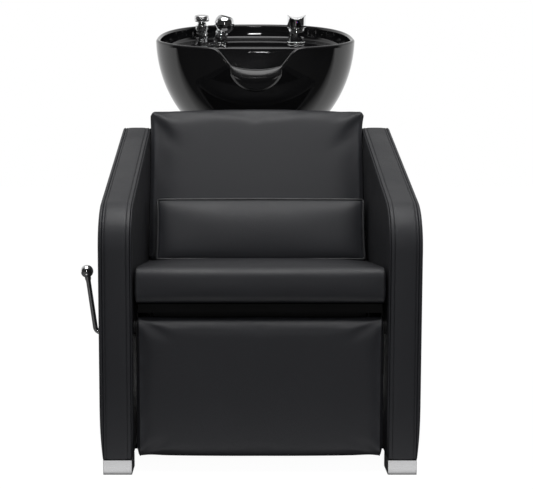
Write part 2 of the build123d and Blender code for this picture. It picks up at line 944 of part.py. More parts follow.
def bowl_section(level, inset):
    """Egg-shaped section of the bowl at a level, drawn in by the inset all round."""
    shrink = sqrt(1 - (level / bowl_wall_depth) ** 2)
    wide = bowl_half_width * shrink - inset
    points = []
    for step in range(2 * bowl_arc_count):
        angle = radians(180 * step / bowl_arc_count)
        ahead = cos(angle) < 0
        length = bowl_front_length if ahead else bowl_rear_length
        power = 2 / (bowl_front_power if ahead else bowl_rear_power)
        along = (length * shrink - inset) * signed_power(cos(angle), power)
        across = wide * signed_power(sin(angle), power)
        points.append(Vector(across, bowl_front_length + along, level))
    arcs = []
    for start in range(0, len(points), 2):
        end = (start + 2) % len(points)
        arcs.append(ThreePointArc(points[start], points[start + 1], points[end]))
    return Face(Wire(arcs))


def bowl_body(inset, top, floor):
    """Smooth body of the bowl between two levels, drawn in by the inset."""
    faces = []
    for share in bowl_level_shares:
        faces.append(bowl_section(top + share * (floor - top), inset))
    return loft(faces)


def deck_and_wall():
    """Side view of the tap deck and of the basin's rear wall under it, run across the bowl."""
    low = deck_level - bowl_wall
    end = bowl_length + cut_overrun
    wall_foot = deck_front - deck_wall_lean
    points = [
        (deck_front, deck_level),
        (wall_foot, -bowl_depth),
        (wall_foot + bowl_wall, -bowl_depth),
        (deck_front + bowl_wall, low),
        (end, low),
        (end, deck_level),
    ]
    plane = Plane(origin=(-bowl_half_width, 0, 0), x_dir=(0, 1, 0), z_dir=(1, 0, 0))
    return extrude(plane * make_face(Polyline(*points, close=True)), amount=2 * bowl_half_width)


def front_face(outline, radii, along):
    """Face seen from the front of the bowl, at a place along it."""
    plane = Plane(origin=(0, along, 0), x_dir=(1, 0, 0), z_dir=(0, -1, 0))
    return plane * Sketch([rounded_face(outline, radii)])


def notch_cutter():
    """Rounded trough across the front wall for the neck."""
    low = notch_low_width / 2
    top = notch_top_width / 2
    outline = [(-low, -notch_depth), (low, -notch_depth), (top, 0)]
    outline += [(top, cut_overrun), (-top, cut_overrun), (-top, 0)]
    edge = [least_radius] * (len(outline) - 2)
    face = front_face(outline, [notch_radius, notch_radius] + edge, -cut_overrun)
    return extrude(face, amount=-bowl_front_length / 2)


def bowl_shell():
    """Bowl with its basin, deck and hose pocket, before the holes are made."""
    outer = bowl_body(0, 0, -bowl_depth)
    hollow = bowl_body(bowl_wall, cut_overrun, bowl_floor)
    return outer - (hollow - deck_and_wall())


def notched_shell():
    return bowl_shell() - notch_cutter()


def pocket_opening():
    """Hole in the bottom of the hose pocket behind the basin."""
    half = pocket_width / 2
    start = deck_front - deck_wall_lean + 2 * bowl_wall
    upward = (-bowl_depth - cut_overrun, pocket_height - bowl_depth)
    return block((-half, half), (start, start + pocket_length), upward)


def bowl(shell):
    """Shell with the holes for the drain, the hoses and the taps."""
    drain_hole = Cylinder(drain_hole_diameter / 2, 2 * bowl_wall + cut_overrun)
    shell = shell - Pos(0, drain_along, -bowl_depth) * drain_hole - pocket_opening()
    shell -= breaker_shank(0)
    shell -= holder_tube(holder_diameter + hole_clearance, -holder_below, holder_diameter)
    shell -= mixer_neck(hole_clearance)
    return placed_bowl(shell)


# Neck rest


def neck_rest_face(along):
    """Front view of the neck rest: concave above and convex below."""
    half = neck_rest_width / 2
    top = neck_rest_rise - notch_depth
    low = top - neck_rest_drop
    shoulder = low + neck_rest_belly
    edges = [
        ThreePointArc((-half, top), (0, top - neck_rest_saddle), (half, top)),
        Line((half, top), (half, shoulder)),
        ThreePointArc((half, shoulder), (0, low), (-half, shoulder)),
        Line((-half, shoulder), (-half, top)),
    ]
    plane = Plane(origin=(0, along, 0), x_dir=(1, 0, 0), z_dir=(0, -1, 0))
    return plane * make_face(edges)


def neck_rest(shell):
    """Soft pad on the front wall, with a lip over the edge of the notch."""
    front = extrude(neck_rest_face(-neck_rest_thickness), amount=-bowl_front_length / 2)
    front = fillet(front.edges().filter_by(Axis.Y), neck_rest_radius)
    pad = front - bowl_body(0, 0, -bowl_depth)
    half = notch_low_width / 2 - notch_radius / 2
    over = (-neck_rest_thickness / 2, bowl_wall + neck_rest_hook)
    lip = block((-half, half), over, (-notch_depth, neck_rest_rise - notch_depth - neck_rest_saddle))
    return placed_bowl(pad + (lip - shell))


# Drain and strainer, in the bowl's frame until they are placed


def standing(diameter, low, high):
    """Round bar along the bowl's upward axis between two levels."""
    upward = (Align.CENTER, Align.CENTER, Align.MIN)
    return Pos(0, 0, low) * Cylinder(diameter / 2, high - low, align=upward)


def drain_fitting():
    """Flange on the basin's floor, the nut under the bowl and the tail for the waste pipe."""
    under = -bowl_depth
    tail_end = under - drain_tail_length
    body = standing(drain_flange_diameter, bowl_floor, bowl_floor + drain_flange_thickness)
    body += standing(drain_hole_diameter, under, bowl_floor)
    body += standing(drain_nut_diameter, under - drain_nut_thickness, under)
    body += standing(drain_tail_diameter, tail_end, under)
    bore_top = bowl_floor + drain_flange_thickness + cut_overrun
    body -= standing(drain_bore, tail_end - cut_overrun, bore_top)
    return placed_bowl(Pos(0, drain_along, 0) * body)


def strainer():
    """Perforated cap that drops into the drain and lifts out by hand."""
    low = bowl_floor + drain_flange_thickness + touch_gap
    high = low + strainer_thickness
    body = standing(strainer_diameter, low, high)
    body += standing(strainer_spigot_diameter, low - strainer_spigot_length, low)
    hole = standing(strainer_hole_diameter, low - strainer_spigot_length, high)
    for copy in PolarLocations(strainer_ring_radius, strainer_hole_count):
        body -= copy * hole
    return placed_bowl(Pos(0, drain_along, 0) * body)


def tilt_bracket():
    """Plate bolted under the bowl with two ears that turn on the tilt pin."""
    half = bracket_half_width
    plate_low = -bowl_depth - bracket_plate_thickness
    plate = block((-half, half), (bracket_front, bracket_rear), (plate_low, -bowl_depth))
    pivot = (pivot_along, -bowl_depth - pivot_below_bowl)
    corner = bracket_plate_thickness / 4
    spread = bracket_ear_width / 2 - corner
    root_height = plate_low + bracket_plate_thickness / 2
    roots = [(pivot_along - spread, root_height), (pivot_along + spread, root_height)]
    ear_low = half - bracket_ear_thickness
    ear = plate_across(ear_low, half, [pivot] + roots, [bracket_ear_radius, corner, corner])
    bore = pivot_pin_diameter + 2 * pin_clearance
    ear -= rod_across(bore, ear_low - cut_overrun, half + cut_overrun, *pivot)
    return placed_bowl(plate + ear + mirrored(ear))


# Taps, in the bowl's frame until they are placed


def on_deck(x, shape):
    """Stand a piece on the deck at a place across the bowl."""
    return Pos(x, tap_along, deck_level) * shape


def holder_tube(diameter, low, high):
    """Round bar along the handset's leaning axis, from where it meets the deck."""
    return on_deck(holder_offset, Rot(Y=holder_lean) * standing(diameter, low, high))


def breaker_shank(clearance):
    """Threaded shank of the vacuum breaker through the deck."""
    return on_deck(breaker_offset, standing(tap_shank_diameter + clearance, -tap_shank_length, 0))


def mixer_neck(clearance):
    """Part of the mixer's body that passes through the deck."""
    diameter = mixer_body_diameter - mixer_shoulder + clearance
    return on_deck(mixer_offset, standing(diameter, -bowl_wall, 0))


def tap_base():
    """Plate on the deck under the vacuum breaker and the handset's holder."""
    half = tap_base_length / 2
    upward = (deck_level, deck_level + tap_base_thickness)
    plate = block((tap_base_left, tap_base_right), (tap_along - half, tap_along + half), upward)
    plate = fillet(plate.edges().filter_by(Axis.Z), half - least_radius)
    shank = standing(tap_shank_diameter, 0, tap_base_thickness)
    plate -= on_deck(breaker_offset, shank)
    return placed_bowl(plate - holder_tube(holder_diameter, -holder_below, holder_diameter))


def vacuum_breaker():
    """Stacked body of the vacuum breaker, with its shank and nut under the deck."""
    low = tap_base_thickness
    collar = low + breaker_body_height
    neck = collar + breaker_collar_height
    body = standing(breaker_body_diameter, low, collar)
    body += standing(breaker_collar_diameter, collar, neck)
    body += standing(breaker_neck_diameter, neck, neck + breaker_neck_height)
    body += standing(tap_shank_diameter, -tap_shank_length, low)
    nut_low = -bowl_wall - tap_nut_thickness
    body += standing(tap_nut_diameter, nut_low, -bowl_wall)
    return placed_bowl(on_deck(breaker_offset, body))


def vacuum_breaker_cap():
    low = tap_base_thickness + breaker_body_height + breaker_collar_height + breaker_neck_height
    cap = standing(breaker_cap_diameter, low, low + breaker_cap_height)
    cap = fillet(cap.edges().filter_by(GeomType.CIRCLE), breaker_edge_radius)
    return placed_bowl(on_deck(breaker_offset, cap))


def holder_top():
    """Place along the handset's axis where its round head sits on the holder's mouth."""
    radius = handset_head_diameter / 2
    seat = sqrt(radius**2 - (holder_bore / 2) ** 2)
    return handset_head_rise - seat - touch_gap


def handset_holder():
    tube_body = holder_tube(holder_diameter, -holder_below, holder_top())
    bore = holder_tube(holder_bore, -holder_below - cut_overrun, holder_top() + cut_overrun)
    return placed_bowl(tube_body - bore)


def handset_body():
    """Round spray head on the shank that slides out of the holder."""
    top = handset_head_rise + handset_head_diameter / 2
    face_low = top - handset_face_drop - handset_face_thickness
    head = on_deck(
        holder_offset,
        Rot(Y=holder_lean) * Pos(0, 0, handset_head_rise) * Sphere(handset_head_diameter / 2),
    )
    head += holder_tube(handset_shank_diameter, -holder_below, handset_head_rise)
    head -= holder_tube(handset_face_diameter, face_low, top + cut_overrun)
    return placed_bowl(head)


def handset_face():
    """Spray plate let into the top of the round head."""
    top = handset_head_rise + handset_head_diameter / 2
    face_low = top - handset_face_drop - handset_face_thickness
    return placed_bowl(holder_tube(handset_face_diameter, face_low, face_low + handset_face_thickness))


def mixer_body():
    """Body of the mixer with its flange, its neck through the deck and two inlets below."""
    top = mixer_flange_height + mixer_body_height
    body = standing(mixer_flange_diameter, 0, mixer_flange_height)
    body += standing(mixer_body_diameter, mixer_flange_height, top)
    body -= standing(cartridge_neck_diameter, top - cartridge_neck_depth, top)
    low = -bowl_wall - tap_nut_thickness
    body += standing(mixer_flange_diameter, low, -bowl_wall)
    for x in (-inlet_spacing / 2, inlet_spacing / 2):
        body += Pos(x, 0, 0) * standing(inlet_diameter, low - inlet_length, low)
    return placed_bowl(on_deck(mixer_offset, body) + mixer_neck(0))


def mixer_cartridge():
    """Turning stem that carries the mixer's handle."""
    low = mixer_flange_height + mixer_body_height
    neck = cartridge_neck_diameter - 2 * pin_clearance
    stem = standing(neck, low - cartridge_neck_depth + touch_gap, low + touch_gap)
    stem += standing(cartridge_diameter, low + touch_gap, low + cartridge_height)
    return placed_bowl(on_deck(mixer_offset, stem))


def mixer_handle():
    """Cap handle with a thumb dip across its top and a cavity over the cartridge."""
    low = mixer_flange_height + mixer_body_height + mixer_handle_gap
    high = low + mixer_handle_height
    radius = mixer_handle_diameter / 2
    handle = standing(mixer_handle_diameter, low, high)
    handle -= standing(mixer_cavity_diameter, low, low + mixer_cavity_height)
    dip_radius = (radius**2 + mixer_dish_depth**2) / (2 * mixer_dish_depth)
    dip = Rot(X=90) * Cylinder(dip_radius, 2 * mixer_handle_diameter)
    handle -= Pos(0, 0, high - mixer_dish_depth + dip_radius) * dip
    return placed_bowl(on_deck(mixer_offset, handle))


# Whole object


def pair(name, shape):
    """The same piece on both sides, under its name with the side added."""
    return {f"{name}_right": shape, f"{name}_left": mirrored(shape)}


def arm_nodes():
    nodes = {**pair("arm_core", arm_core()), **pair("arm_outer_pad", arm_outer_pad())}
    nodes.update(pair("arm_inner_pad", arm_inner_pad()))
    nodes.update(pair("arm_band", arm_band()))
    nodes["arm_core_left"] -= shaft_hole(bush_diameter)
    nodes["arm_outer_pad_left"] -= shaft_hole(bush_diameter)
    nodes["arm_inner_pad_left"] -= shaft_hole(shaft_diameter + hole_clearance)
    nodes["feet"] = feet()
    return nodes


def seat_nodes():
    rear_rail = seat_rail_rear_depth - rail_size
    return {
        **pair("seat_side_rail", seat_side_rail()),
        "seat_front_rail": seat_cross_rail(seat_rail_front_depth + seat_cross_inset),
        "seat_rear_rail": seat_cross_rail(rear_rail),
        "seat_board": seat_board(),
        "seat_cushion": seat_cushion(),
        "frame_spacers": frame_spacers(),
        "frame_bolts": frame_bolts(),
    }


def back_nodes():
    return {
        "back_board": back_board(),
        "back_cushion": back_cushion(),
        "back_rails": [back_rail(back_rail_low), back_rail(back_rail_high)],
        "lumbar_pillow": lumbar_pillow(),
    }


def legrest_nodes():
    return {
        "legrest_pad": legrest_pad(),
        "legrest_board": legrest_board(),
        **pair("legrest_end_plate", legrest_end_plate()),
        **pair("legrest_lug", legrest_lug()),
        **pair("hinge_bracket", hinge_bracket()),
        "shaft_bearings": [shaft_bearing(), mirrored(shaft_bearing())],
        **pair("push_link", push_link()),
        "drive_shaft": drive_shaft(),
        "lever_bush": lever_bush(),
        "lever_rod": lever_rod(),
        "lever_knob": lever_knob(),
    }


def base_nodes():
    return {
        "base_front_rail": base_cross_rail(front_bolt_depth, True),
        "base_middle_rail": base_cross_rail(arm_floor_depth - middle_rail_setback, False),
        "base_rear_rail": base_cross_rail(rear_bolt_depth, True),
        **pair("base_long_rail", base_long_rail()),
        **pair("bowl_post", post()),
        "bowl_beam": bowl_beam(),
        "tilt_pin": tilt_pin(),
        "pedestal_cover": pedestal_cover(),
    }


def bowl_nodes():
    shell = notched_shell()
    return {
        "bowl": bowl(shell),
        "neck_rest": neck_rest(shell),
        "drain_fitting": drain_fitting(),
        "strainer": strainer(),
        "tilt_bracket": tilt_bracket(),
        "tap_base": tap_base(),
        "vacuum_breaker": vacuum_breaker(),
        "vacuum_breaker_cap": vacuum_breaker_cap(),
        "handset_holder": handset_holder(),
        "handset_body": handset_body(),
        "handset_face": handset_face(),
        "mixer_body": mixer_body(),
        "mixer_cartridge": mixer_cartridge(),
        "mixer_handle": mixer_handle(),
    }


def write_node(name, piece):
    """Write one node's solids, moved from the front plane to the object's own origin."""
    shapes = piece if isinstance(piece, list) else [piece]
    solids = [solid for shape in shapes for solid in shape.solids()]
    export_step(Pos(0, -front_setback, 0) * Compound(solids), f"parts/{name}.step")


def main():
    os.makedirs("parts", exist_ok=True)
    for group in (arm_nodes, seat_nodes, back_nodes, legrest_nodes, base_nodes, bowl_nodes):
        for name, piece in group().items():
            write_node(name, piece)


main()
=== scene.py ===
"""Looks of a salon hair washing bed: padded arms, seat, leg rest, back and lumbar pillow, the
side lever, and the glazed bowl with its neck rest and taps behind the back.

Metres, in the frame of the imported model: +Z up, the front faces -Y. "Left" is -X, the side of
the lever. Depths are counted rearwards from the front plane of the arms.
"""

import json
import logging
from dataclasses import dataclass, field
from enum import Enum
from math import atan2, cos, pi, radians, sin, sqrt, tan

import bmesh
import bpy
import numpy as np
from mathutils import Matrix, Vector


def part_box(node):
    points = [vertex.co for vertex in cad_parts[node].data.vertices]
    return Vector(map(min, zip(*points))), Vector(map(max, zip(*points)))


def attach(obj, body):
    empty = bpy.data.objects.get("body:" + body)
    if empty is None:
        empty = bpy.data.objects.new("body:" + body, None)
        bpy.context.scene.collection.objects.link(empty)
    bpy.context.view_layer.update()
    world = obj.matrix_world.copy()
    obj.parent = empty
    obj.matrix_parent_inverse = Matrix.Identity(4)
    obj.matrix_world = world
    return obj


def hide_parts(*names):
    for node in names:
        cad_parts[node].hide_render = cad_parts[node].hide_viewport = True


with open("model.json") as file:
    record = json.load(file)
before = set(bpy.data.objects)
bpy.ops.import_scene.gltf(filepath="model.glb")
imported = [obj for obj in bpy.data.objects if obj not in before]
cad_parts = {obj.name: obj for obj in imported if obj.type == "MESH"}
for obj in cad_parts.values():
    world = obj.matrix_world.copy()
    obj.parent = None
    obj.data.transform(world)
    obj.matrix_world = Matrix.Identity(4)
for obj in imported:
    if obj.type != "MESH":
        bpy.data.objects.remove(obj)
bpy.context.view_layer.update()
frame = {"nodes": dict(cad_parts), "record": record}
FRONT_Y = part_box("arm_band_left")[0].y

Array = np.ndarray
Profile = list[tuple[float, float]]
Span = tuple[float, float]
Socket = bpy.types.NodeSocket
WHITE = (1.0, 1.0, 1.0, 1.0)
log = logging.getLogger("washing_bed")


class Side(Enum):
    """Side of the bed as someone who faces its front sees it."""

    LEFT = -1
    RIGHT = 1

    @property
    def word(self) -> str:
        """Name of the side as it stands in a piece's name."""
        return self.name.lower()


class Fold(Enum):
    """How the edges of a mesh are shaded."""

    SOFT = 180
    TURNED = 38


# Shapes


def ease(value: Array, low: float, high: float) -> Array:
    """Smooth step: t squared times (3 - 2 t), where t runs from 0 at low to 1 at high.

    Args:
        value: numbers to ease.
        low: value that gives 0.
        high: value that gives 1.

    Returns:
        An array of numbers from 0 to 1.
    """
    t = np.clip((np.asarray(value, float) - low) / (high - low), 0, 1)
    return t * t * (3 - 2 * t)


def flowing(controls: Array, count: int, closed: bool = False) -> Array:
    """Points on a Catmull-Rom curve: each span is the cubic through its two ends whose slopes
    are half the chord between the neighbours of each end.

    Args:
        controls: control points, one in each row.
        count: how many points to give.
        closed: whether the last control point joins the first.

    Returns:
        An array of count points.
    """
    controls = np.asarray(controls, float)
    spans = len(controls) if closed else len(controls) - 1
    t = np.linspace(0, spans, count, endpoint=not closed)
    span = np.minimum(t.astype(int), spans - 1)
    t = (t - span)[:, None]

    def at(shift: int) -> Array:
        """Control point at a distance from the start of each span."""
        index = span + shift
        index = index % len(controls) if closed else np.clip(index, 0, len(controls) - 1)
        return controls[index]

    before, start, end, after = at(-1), at(0), at(1), at(2)
    return 0.5 * (
        2 * start
        + (end - before) * t
        + (2 * before - 5 * start + 4 * end - after) * t**2
        + (3 * start - before - 3 * end + after) * t**3
    )


def lengths(path: Array) -> Array:
    """Distance along a line at each of its points."""
    return np.append(0, np.cumsum(np.linalg.norm(np.diff(path, axis=0), axis=1)))


def full_turn(count: int) -> Array:
    """Angles evenly spread over a full turn."""
    return np.linspace(0, 2 * pi, count, endpoint=False)


def circle(angle: Array) -> Array:
    """Points of the circle of radius 1 at some angles."""
    return np.stack([np.cos(angle), np.sin(angle)], axis=-1)


def xyz(x: Array | float, y: Array | float, z: Array | float) -> Array:
    """Points from their coordinates, each an array or one number for all the points."""
    return np.stack(np.broadcast_arrays(x, y, z), axis=-1).astype(float)


def cos_sin(degrees: float) -> tuple[float, float]:
    """Cosine and sine of an angle."""
    return cos(radians(degrees)), sin(radians(degrees))


def evenly(path: Array, count: int, closed: bool = False) -> Array:
    """The same line with its points spread evenly along its length.

    Args:
        path: points of the line.
        count: how many points to give.
        closed: whether the line closes on itself.

    Returns:
        An array of count points.
    """
    line = np.vstack([path, path[:1]]) if closed else path
    run = lengths(line)
    places = np.linspace(0, run[-1], count, endpoint=not closed)
    return np.stack([np.interp(places, run, column) for column in line.T], axis=1)


def unevenness(along: Array, period: float) -> Array:
    """Hand-made irregularity from -1 to 1: the mean of three sines whose periods have no
    common measure, so that it doesn't repeat.

    Args:
        along: distance along the seam or edge, in metres.
        period: rough length of one wave, in metres.

    Returns:
        An array of the same shape as along.
    """
    turn = 2 * pi * np.asarray(along, float) / period
    return (np.sin(turn) + np.sin(0.6180 * turn + 1.3) + np.sin(1.7321 * turn + 4.1)) / 3


def unit(vectors: Array) -> Array:
    """Vectors of length 1 in the same directions."""
    return vectors / np.maximum(np.linalg.norm(vectors, axis=-1, keepdims=True), 1e-12)


def quads(rows: int, columns: int, close_rows: bool, close_columns: bool) -> Array:
    """Four-cornered faces between the neighbouring points of a grid.

    Args:
        rows: number of rows of points.
        columns: number of columns of points.
        close_rows: whether the last row joins the first.
        close_columns: whether the last column joins the first.

    Returns:
        An array of faces, each four point numbers.
    """
    index = np.arange(rows * columns).reshape(rows, columns)
    if close_columns:
        index = np.concatenate([index, index[:, :1]], axis=1)
    if close_rows:
        index = np.concatenate([index, index[:1]], axis=0)
    corners = [index[:-1, :-1], index[:-1, 1:], index[1:, 1:], index[1:, :-1]]
    return np.stack(corners, axis=-1).reshape(-1, 4)


@dataclass
class MeshDraft:
    """Points and faces of one piece, gathered from several surfaces before it is made."""

    name: str
    points: list[Array] = field(default_factory=list)
    faces: list[list[int]] = field(default_factory=list)
    rub: list[Array] = field(default_factory=list)
    count: int = 0

    def add(self, points: Array, faces: Array, rub: Array | None = None) -> None:
        """Add a surface.

        Args:
            points: its points.
            faces: its faces, as numbers into those points.
            rub: how much each point is rubbed in use, from 0 to 1.
        """
        flat = np.asarray(points, float).reshape(-1, 3)
        self.points.append(flat)
        self.rub.append(np.zeros(len(flat)) if rub is None else np.ravel(rub))
        self.faces.extend((np.asarray(faces) + self.count).tolist())
        self.count += len(flat)

    def add_grid(
        self,
        grid: Array,
        close_rows: bool = False,
        close_columns: bool = True,
        caps: tuple[bool, bool] = (False, False),
        rub: Array | None = None,
    ) -> None:
        """Add a grid of points, with a fan to the middle of its first or last row where asked.

        Args:
            grid: array of rows, columns and three coordinates.
            close_rows: whether the last row joins the first.
            close_columns: whether the last column joins the first.
            caps: whether the first and the last row are closed.
            rub: how much each point is rubbed in use.
        """
        rows, columns = grid.shape[:2]
        start = self.count
        self.add(grid, quads(rows, columns, close_rows, close_columns), rub)
        for row, wanted in zip((0, rows - 1), caps):
            if wanted:
                ring = start + row * columns + np.arange(columns)
                fan = np.stack([ring, np.roll(ring, -1), np.full(columns, self.count)], axis=1)
                self.points.append(grid[row].mean(axis=0)[None])
                self.rub.append(np.zeros(1))
                self.faces.extend(fan.tolist())
                self.count += 1

    def build(self, fold: Fold = Fold.SOFT) -> bpy.types.Object:
        """Make the object, with its faces pointing outwards.

        Args:
            fold: how its edges are shaded.

        Returns:
            The new object, at the origin.
        """
        mesh = bpy.data.meshes.new(self.name)
        mesh.from_pydata(np.concatenate(self.points).tolist(), [], self.faces)
        work = bmesh.new()
        work.from_mesh(mesh)
        bmesh.ops.recalc_face_normals(work, faces=work.faces)
        work.to_mesh(mesh)
        work.free()
        rub = mesh.attributes.new("rub", "FLOAT", "POINT")
        rub.data.foreach_set("value", np.concatenate(self.rub).astype(np.float32))
        mesh.shade_smooth()
        if fold is Fold.TURNED:
            mesh.set_sharp_from_angle(angle=radians(fold.value))
        return in_scene(self.name, mesh)


def in_scene(name: str, data: bpy.types.ID) -> bpy.types.Object:
    """New object in the scene that shows a mesh, a lamp or a camera."""
    made = bpy.data.objects.new(name, data)
    bpy.context.scene.collection.objects.link(made)
    return made


def surface(
    name: str,
    grid: Array,
    fold: Fold = Fold.SOFT,
    close_rows: bool = False,
    capped: bool = True,
) -> bpy.types.Object:
    """Piece made of one grid of rings.

    Args:
        name: name of the piece.
        grid: array of rings, points in a ring and three coordinates.
        fold: how its edges are shaded.
        close_rows: whether the last ring joins the first.
        capped: whether the first and the last ring are closed.

    Returns:
        The new object.
    """
    draft = MeshDraft(name)
    draft.add_grid(grid, close_rows, caps=(capped, capped))
    return draft.build(fold)


@dataclass(frozen=True)
class RoundedOutline:
    """Closed outline of straight edges joined by arcs, anticlockwise."""

    corners: tuple[tuple[float, float], ...]
    radii: tuple[float, ...]
    edge_stops: tuple[int, ...]
    arc_stops: int = 10
    least_radius: float = 0.001

    def ring(self, insets: tuple[float, ...]) -> Array:
        """Points of the outline with each edge moved inwards by its own inset. A corner lies
        where its two moved edges cross, and its arc's centre is on the line that halves the
        corner, at the radius divided by the sine of half the corner's angle.

        Args:
            insets: how far each edge moves, from the edge after the first corner.

        Returns:
            An array of points, as many for any insets.
        """
        corners = np.array(self.corners)
        along = unit(np.roll(corners, -1, axis=0) - corners)
        inward = np.stack([-along[:, 1], along[:, 0]], axis=1)
        moved = corners + inward * np.array(insets)[:, None]
        points = []
        for k in range(len(corners)):
            before, here = along[k - 1], along[k]
            gap = moved[k] - moved[k - 1]
            cross = before[0] * here[1] - before[1] * here[0]
            reach = (gap[0] * here[1] - gap[1] * here[0]) / cross
            corner = moved[k - 1] + before * reach
            radius = max(self.radii[k] - min(insets[k - 1], insets[k]), self.least_radius)
            half = (pi - atan2(cross, before @ here)) / 2
            centre = corner + unit(here - before) * radius / sin(half)
            start = atan2(*(-inward[k - 1])[::-1])
            turn = np.linspace(start, start + pi - 2 * half, self.arc_stops)
            points.append(centre + radius * circle(turn))
        ring = []
        for k, arc in enumerate(points):
            share = np.linspace(0, 1, self.edge_stops[k] + 2)[1:-1, None]
            end = points[(k + 1) % len(points)][0]
            ring += [arc, arc[-1] + (end - arc[-1]) * share]
        return np.concatenate(ring)


def tube(
    path: Array, radius: Array | float, sides: int, flat: Array, closed: bool = False
) -> Array:
    """Round tube along a line that keeps near one plane: each ring is the line's point plus the
    radius times the cosine of the angle along the plane's normal and times its sine along the
    direction square to both the normal and the line.

    Args:
        path: points of the line.
        radius: radius at each point, or one for all.
        sides: points in a ring.
        flat: normal of the plane that the line keeps near.
        closed: whether the line closes on itself.

    Returns:
        A grid of rings.
    """
    if closed:
        along = np.roll(path, -1, axis=0) - np.roll(path, 1, axis=0)
    else:
        along = np.gradient(path, axis=0)
    along = unit(along)
    side = unit(np.cross(along, flat))
    up = np.cross(side, along)
    angle = full_turn(sides)[None, :, None]
    reach = np.broadcast_to(np.asarray(radius, float), (len(path),))[:, None, None]
    return path[:, None] + reach * (np.cos(angle) * up[:, None] + np.sin(angle) * side[:, None])


def turned(profile: Array, sides: int) -> Array:
    """Surface of revolution about z: each point of the profile goes round at its own radius.

    Args:
        profile: radius and height of each point.
        sides: points in a ring.

    Returns:
        A grid of rings.
    """
    angle = full_turn(sides)
    radius, height = profile[:, :1], profile[:, 1:]
    return xyz(radius * np.cos(angle), radius * np.sin(angle), height)


def stitch_row(path: Array, outward: Array, pitch: float, length: float, radius: float) -> tuple:
    """Row of sewn stitches: each is a short strand along the line whose middle stands up by a
    sine arch and whose ends dip under the surface.

    Args:
        path: line of the sewing.
        outward: direction out of the surface at each of its points.
        pitch: distance from stitch to stitch.
        length: length of a stitch.
        radius: radius of the thread.

    Returns:
        The points and the faces of all the stitches.
    """
    run = lengths(path)
    starts = np.arange(pitch, run[-1] - pitch, pitch)
    share = np.linspace(0, 1, 5)
    places = starts[:, None] + share[None] * length
    middle = np.stack([np.interp(places, run, column) for column in path.T], axis=-1)
    out = unit(np.stack([np.interp(places, run, column) for column in outward.T], axis=-1))
    along = unit(middle[:, -1:] - middle[:, :1])
    side = np.cross(along, out)
    middle = middle + out * ((1.5 * np.sin(pi * share) - 0.7) * radius)[None, :, None]
    girth = radius * np.array([0.4, 0.9, 1.0, 0.9, 0.4])[None, :, None, None]
    sides = 6
    angle = full_turn(sides)[None, None, :, None]
    rings = middle[:, :, None] + girth * (
        np.cos(angle) * out[:, :, None] + np.sin(angle) * side[:, :, None]
    )
    per_stitch = len(share) * sides
    near = np.array([[0, 1, 2, 3], [0, 3, 4, 5]])
    far = per_stitch - sides + np.array([[0, 3, 2, 1], [0, 5, 4, 3]])
    faces = np.concatenate([quads(len(share), sides, False, True), near, far])
    shift = np.arange(len(starts))[:, None, None] * per_stitch
    return rings.reshape(-1, 3), (faces[None] + shift).reshape(-1, 4)


# Node groups and finishes


@dataclass
class NodeBench:
    """Adds nodes to one node tree and joins them."""

    tree: bpy.types.NodeTree

    def add(self, kind: str, inputs: dict | None = None, **settings: object) -> bpy.types.Node:
        """Add a node.

        Args:
            kind: Blender's name for the kind of node, after ShaderNode.
            inputs: value or source for each input, by its name or number.
            settings: the node's own settings.

        Returns:
            The new node.
        """
        node = self.tree.nodes.new("ShaderNode" + kind)
        for name, value in settings.items():
            setattr(node, name, value)
        self.feed_all(node, inputs or {})
        return node

    def feed(self, socket: Socket, value: object) -> None:
        """Join a source to an input, or set the input's own value."""
        if isinstance(value, Socket):
            self.tree.links.new(value, socket)
        else:
            socket.default_value = value

    def feed_all(self, node: bpy.types.Node, values: dict) -> None:
        """Join a source to each named input of a node, or set its own value."""
        for name, value in values.items():
            self.feed(node.inputs[name], value)

    def math(self, operation: str, *values: object) -> Socket:
        """Result of a sum, product or other operation on values or sources."""
        node = self.add("Math", dict(enumerate(values)), operation=operation)
        return node.outputs[0]

    def noise(self, vector: Socket, scale: object, detail: float = 3.0) -> Socket:
        """Height of a noise pattern."""
        values = {"Vector": vector, "Scale": scale, "Detail": detail}
        return self.add("TexNoise", values).outputs["Fac"]

    def stretched(self, vector: Socket, scale: tuple[float, float, float]) -> Socket:
        """Coordinates scaled along each axis, for a pattern that is longer one way."""
        return self.add("Mapping", {"Vector": vector, "Scale": scale}).outputs[0]

    def range(self, value: Socket, span: Span, given: Span = (0.0, 1.0)) -> Socket:
        """Value moved from one span of numbers to another, and kept inside it."""
        values = {0: value, 1: span[0], 2: span[1], 3: given[0], 4: given[1]}
        return self.add("MapRange", values).outputs[0]

    def blend(self, share: object, low: object, high: object) -> Socket:
        """Colour between two colours."""
        node = self.add("Mix", {0: share, 6: low, 7: high}, data_type="RGBA")
        return node.outputs[2]

    def group(self, name: str, **inputs: object) -> bpy.types.NodeOutputs:
        """Outputs of a shared node group that is placed with its own values."""
        node = self.add("Group")
        node.node_tree = bpy.data.node_groups.get(name) or GROUP_MAKERS[name](name)
        self.feed_all(node, inputs)
        return node.outputs


def new_group(
    name: str, inputs: dict[str, str], outputs: dict[str, str]
) -> tuple[NodeBench, bpy.types.NodeOutputs, bpy.types.Node]:
    """Start a node group.

    Args:
        name: its name.
        inputs: kind of each input, such as Float or Vector, by name.
        outputs: kind of each output, by name.

    Returns:
        A bench on its tree, what comes in, and its output node.
    """
    tree = bpy.data.node_groups.new(name, "ShaderNodeTree")
    for way, sockets in (("INPUT", inputs), ("OUTPUT", outputs)):
        for socket, kind in sockets.items():
            tree.interface.new_socket(socket, in_out=way, socket_type="NodeSocket" + kind)
    enter = tree.nodes.new("NodeGroupInput")
    leave = tree.nodes.new("NodeGroupOutput")
    return NodeBench(tree), enter.outputs, leave


VECTOR = {"Vector": "Vector"}
SCALED = {"Vector": "Vector", "Scale": "Float"}


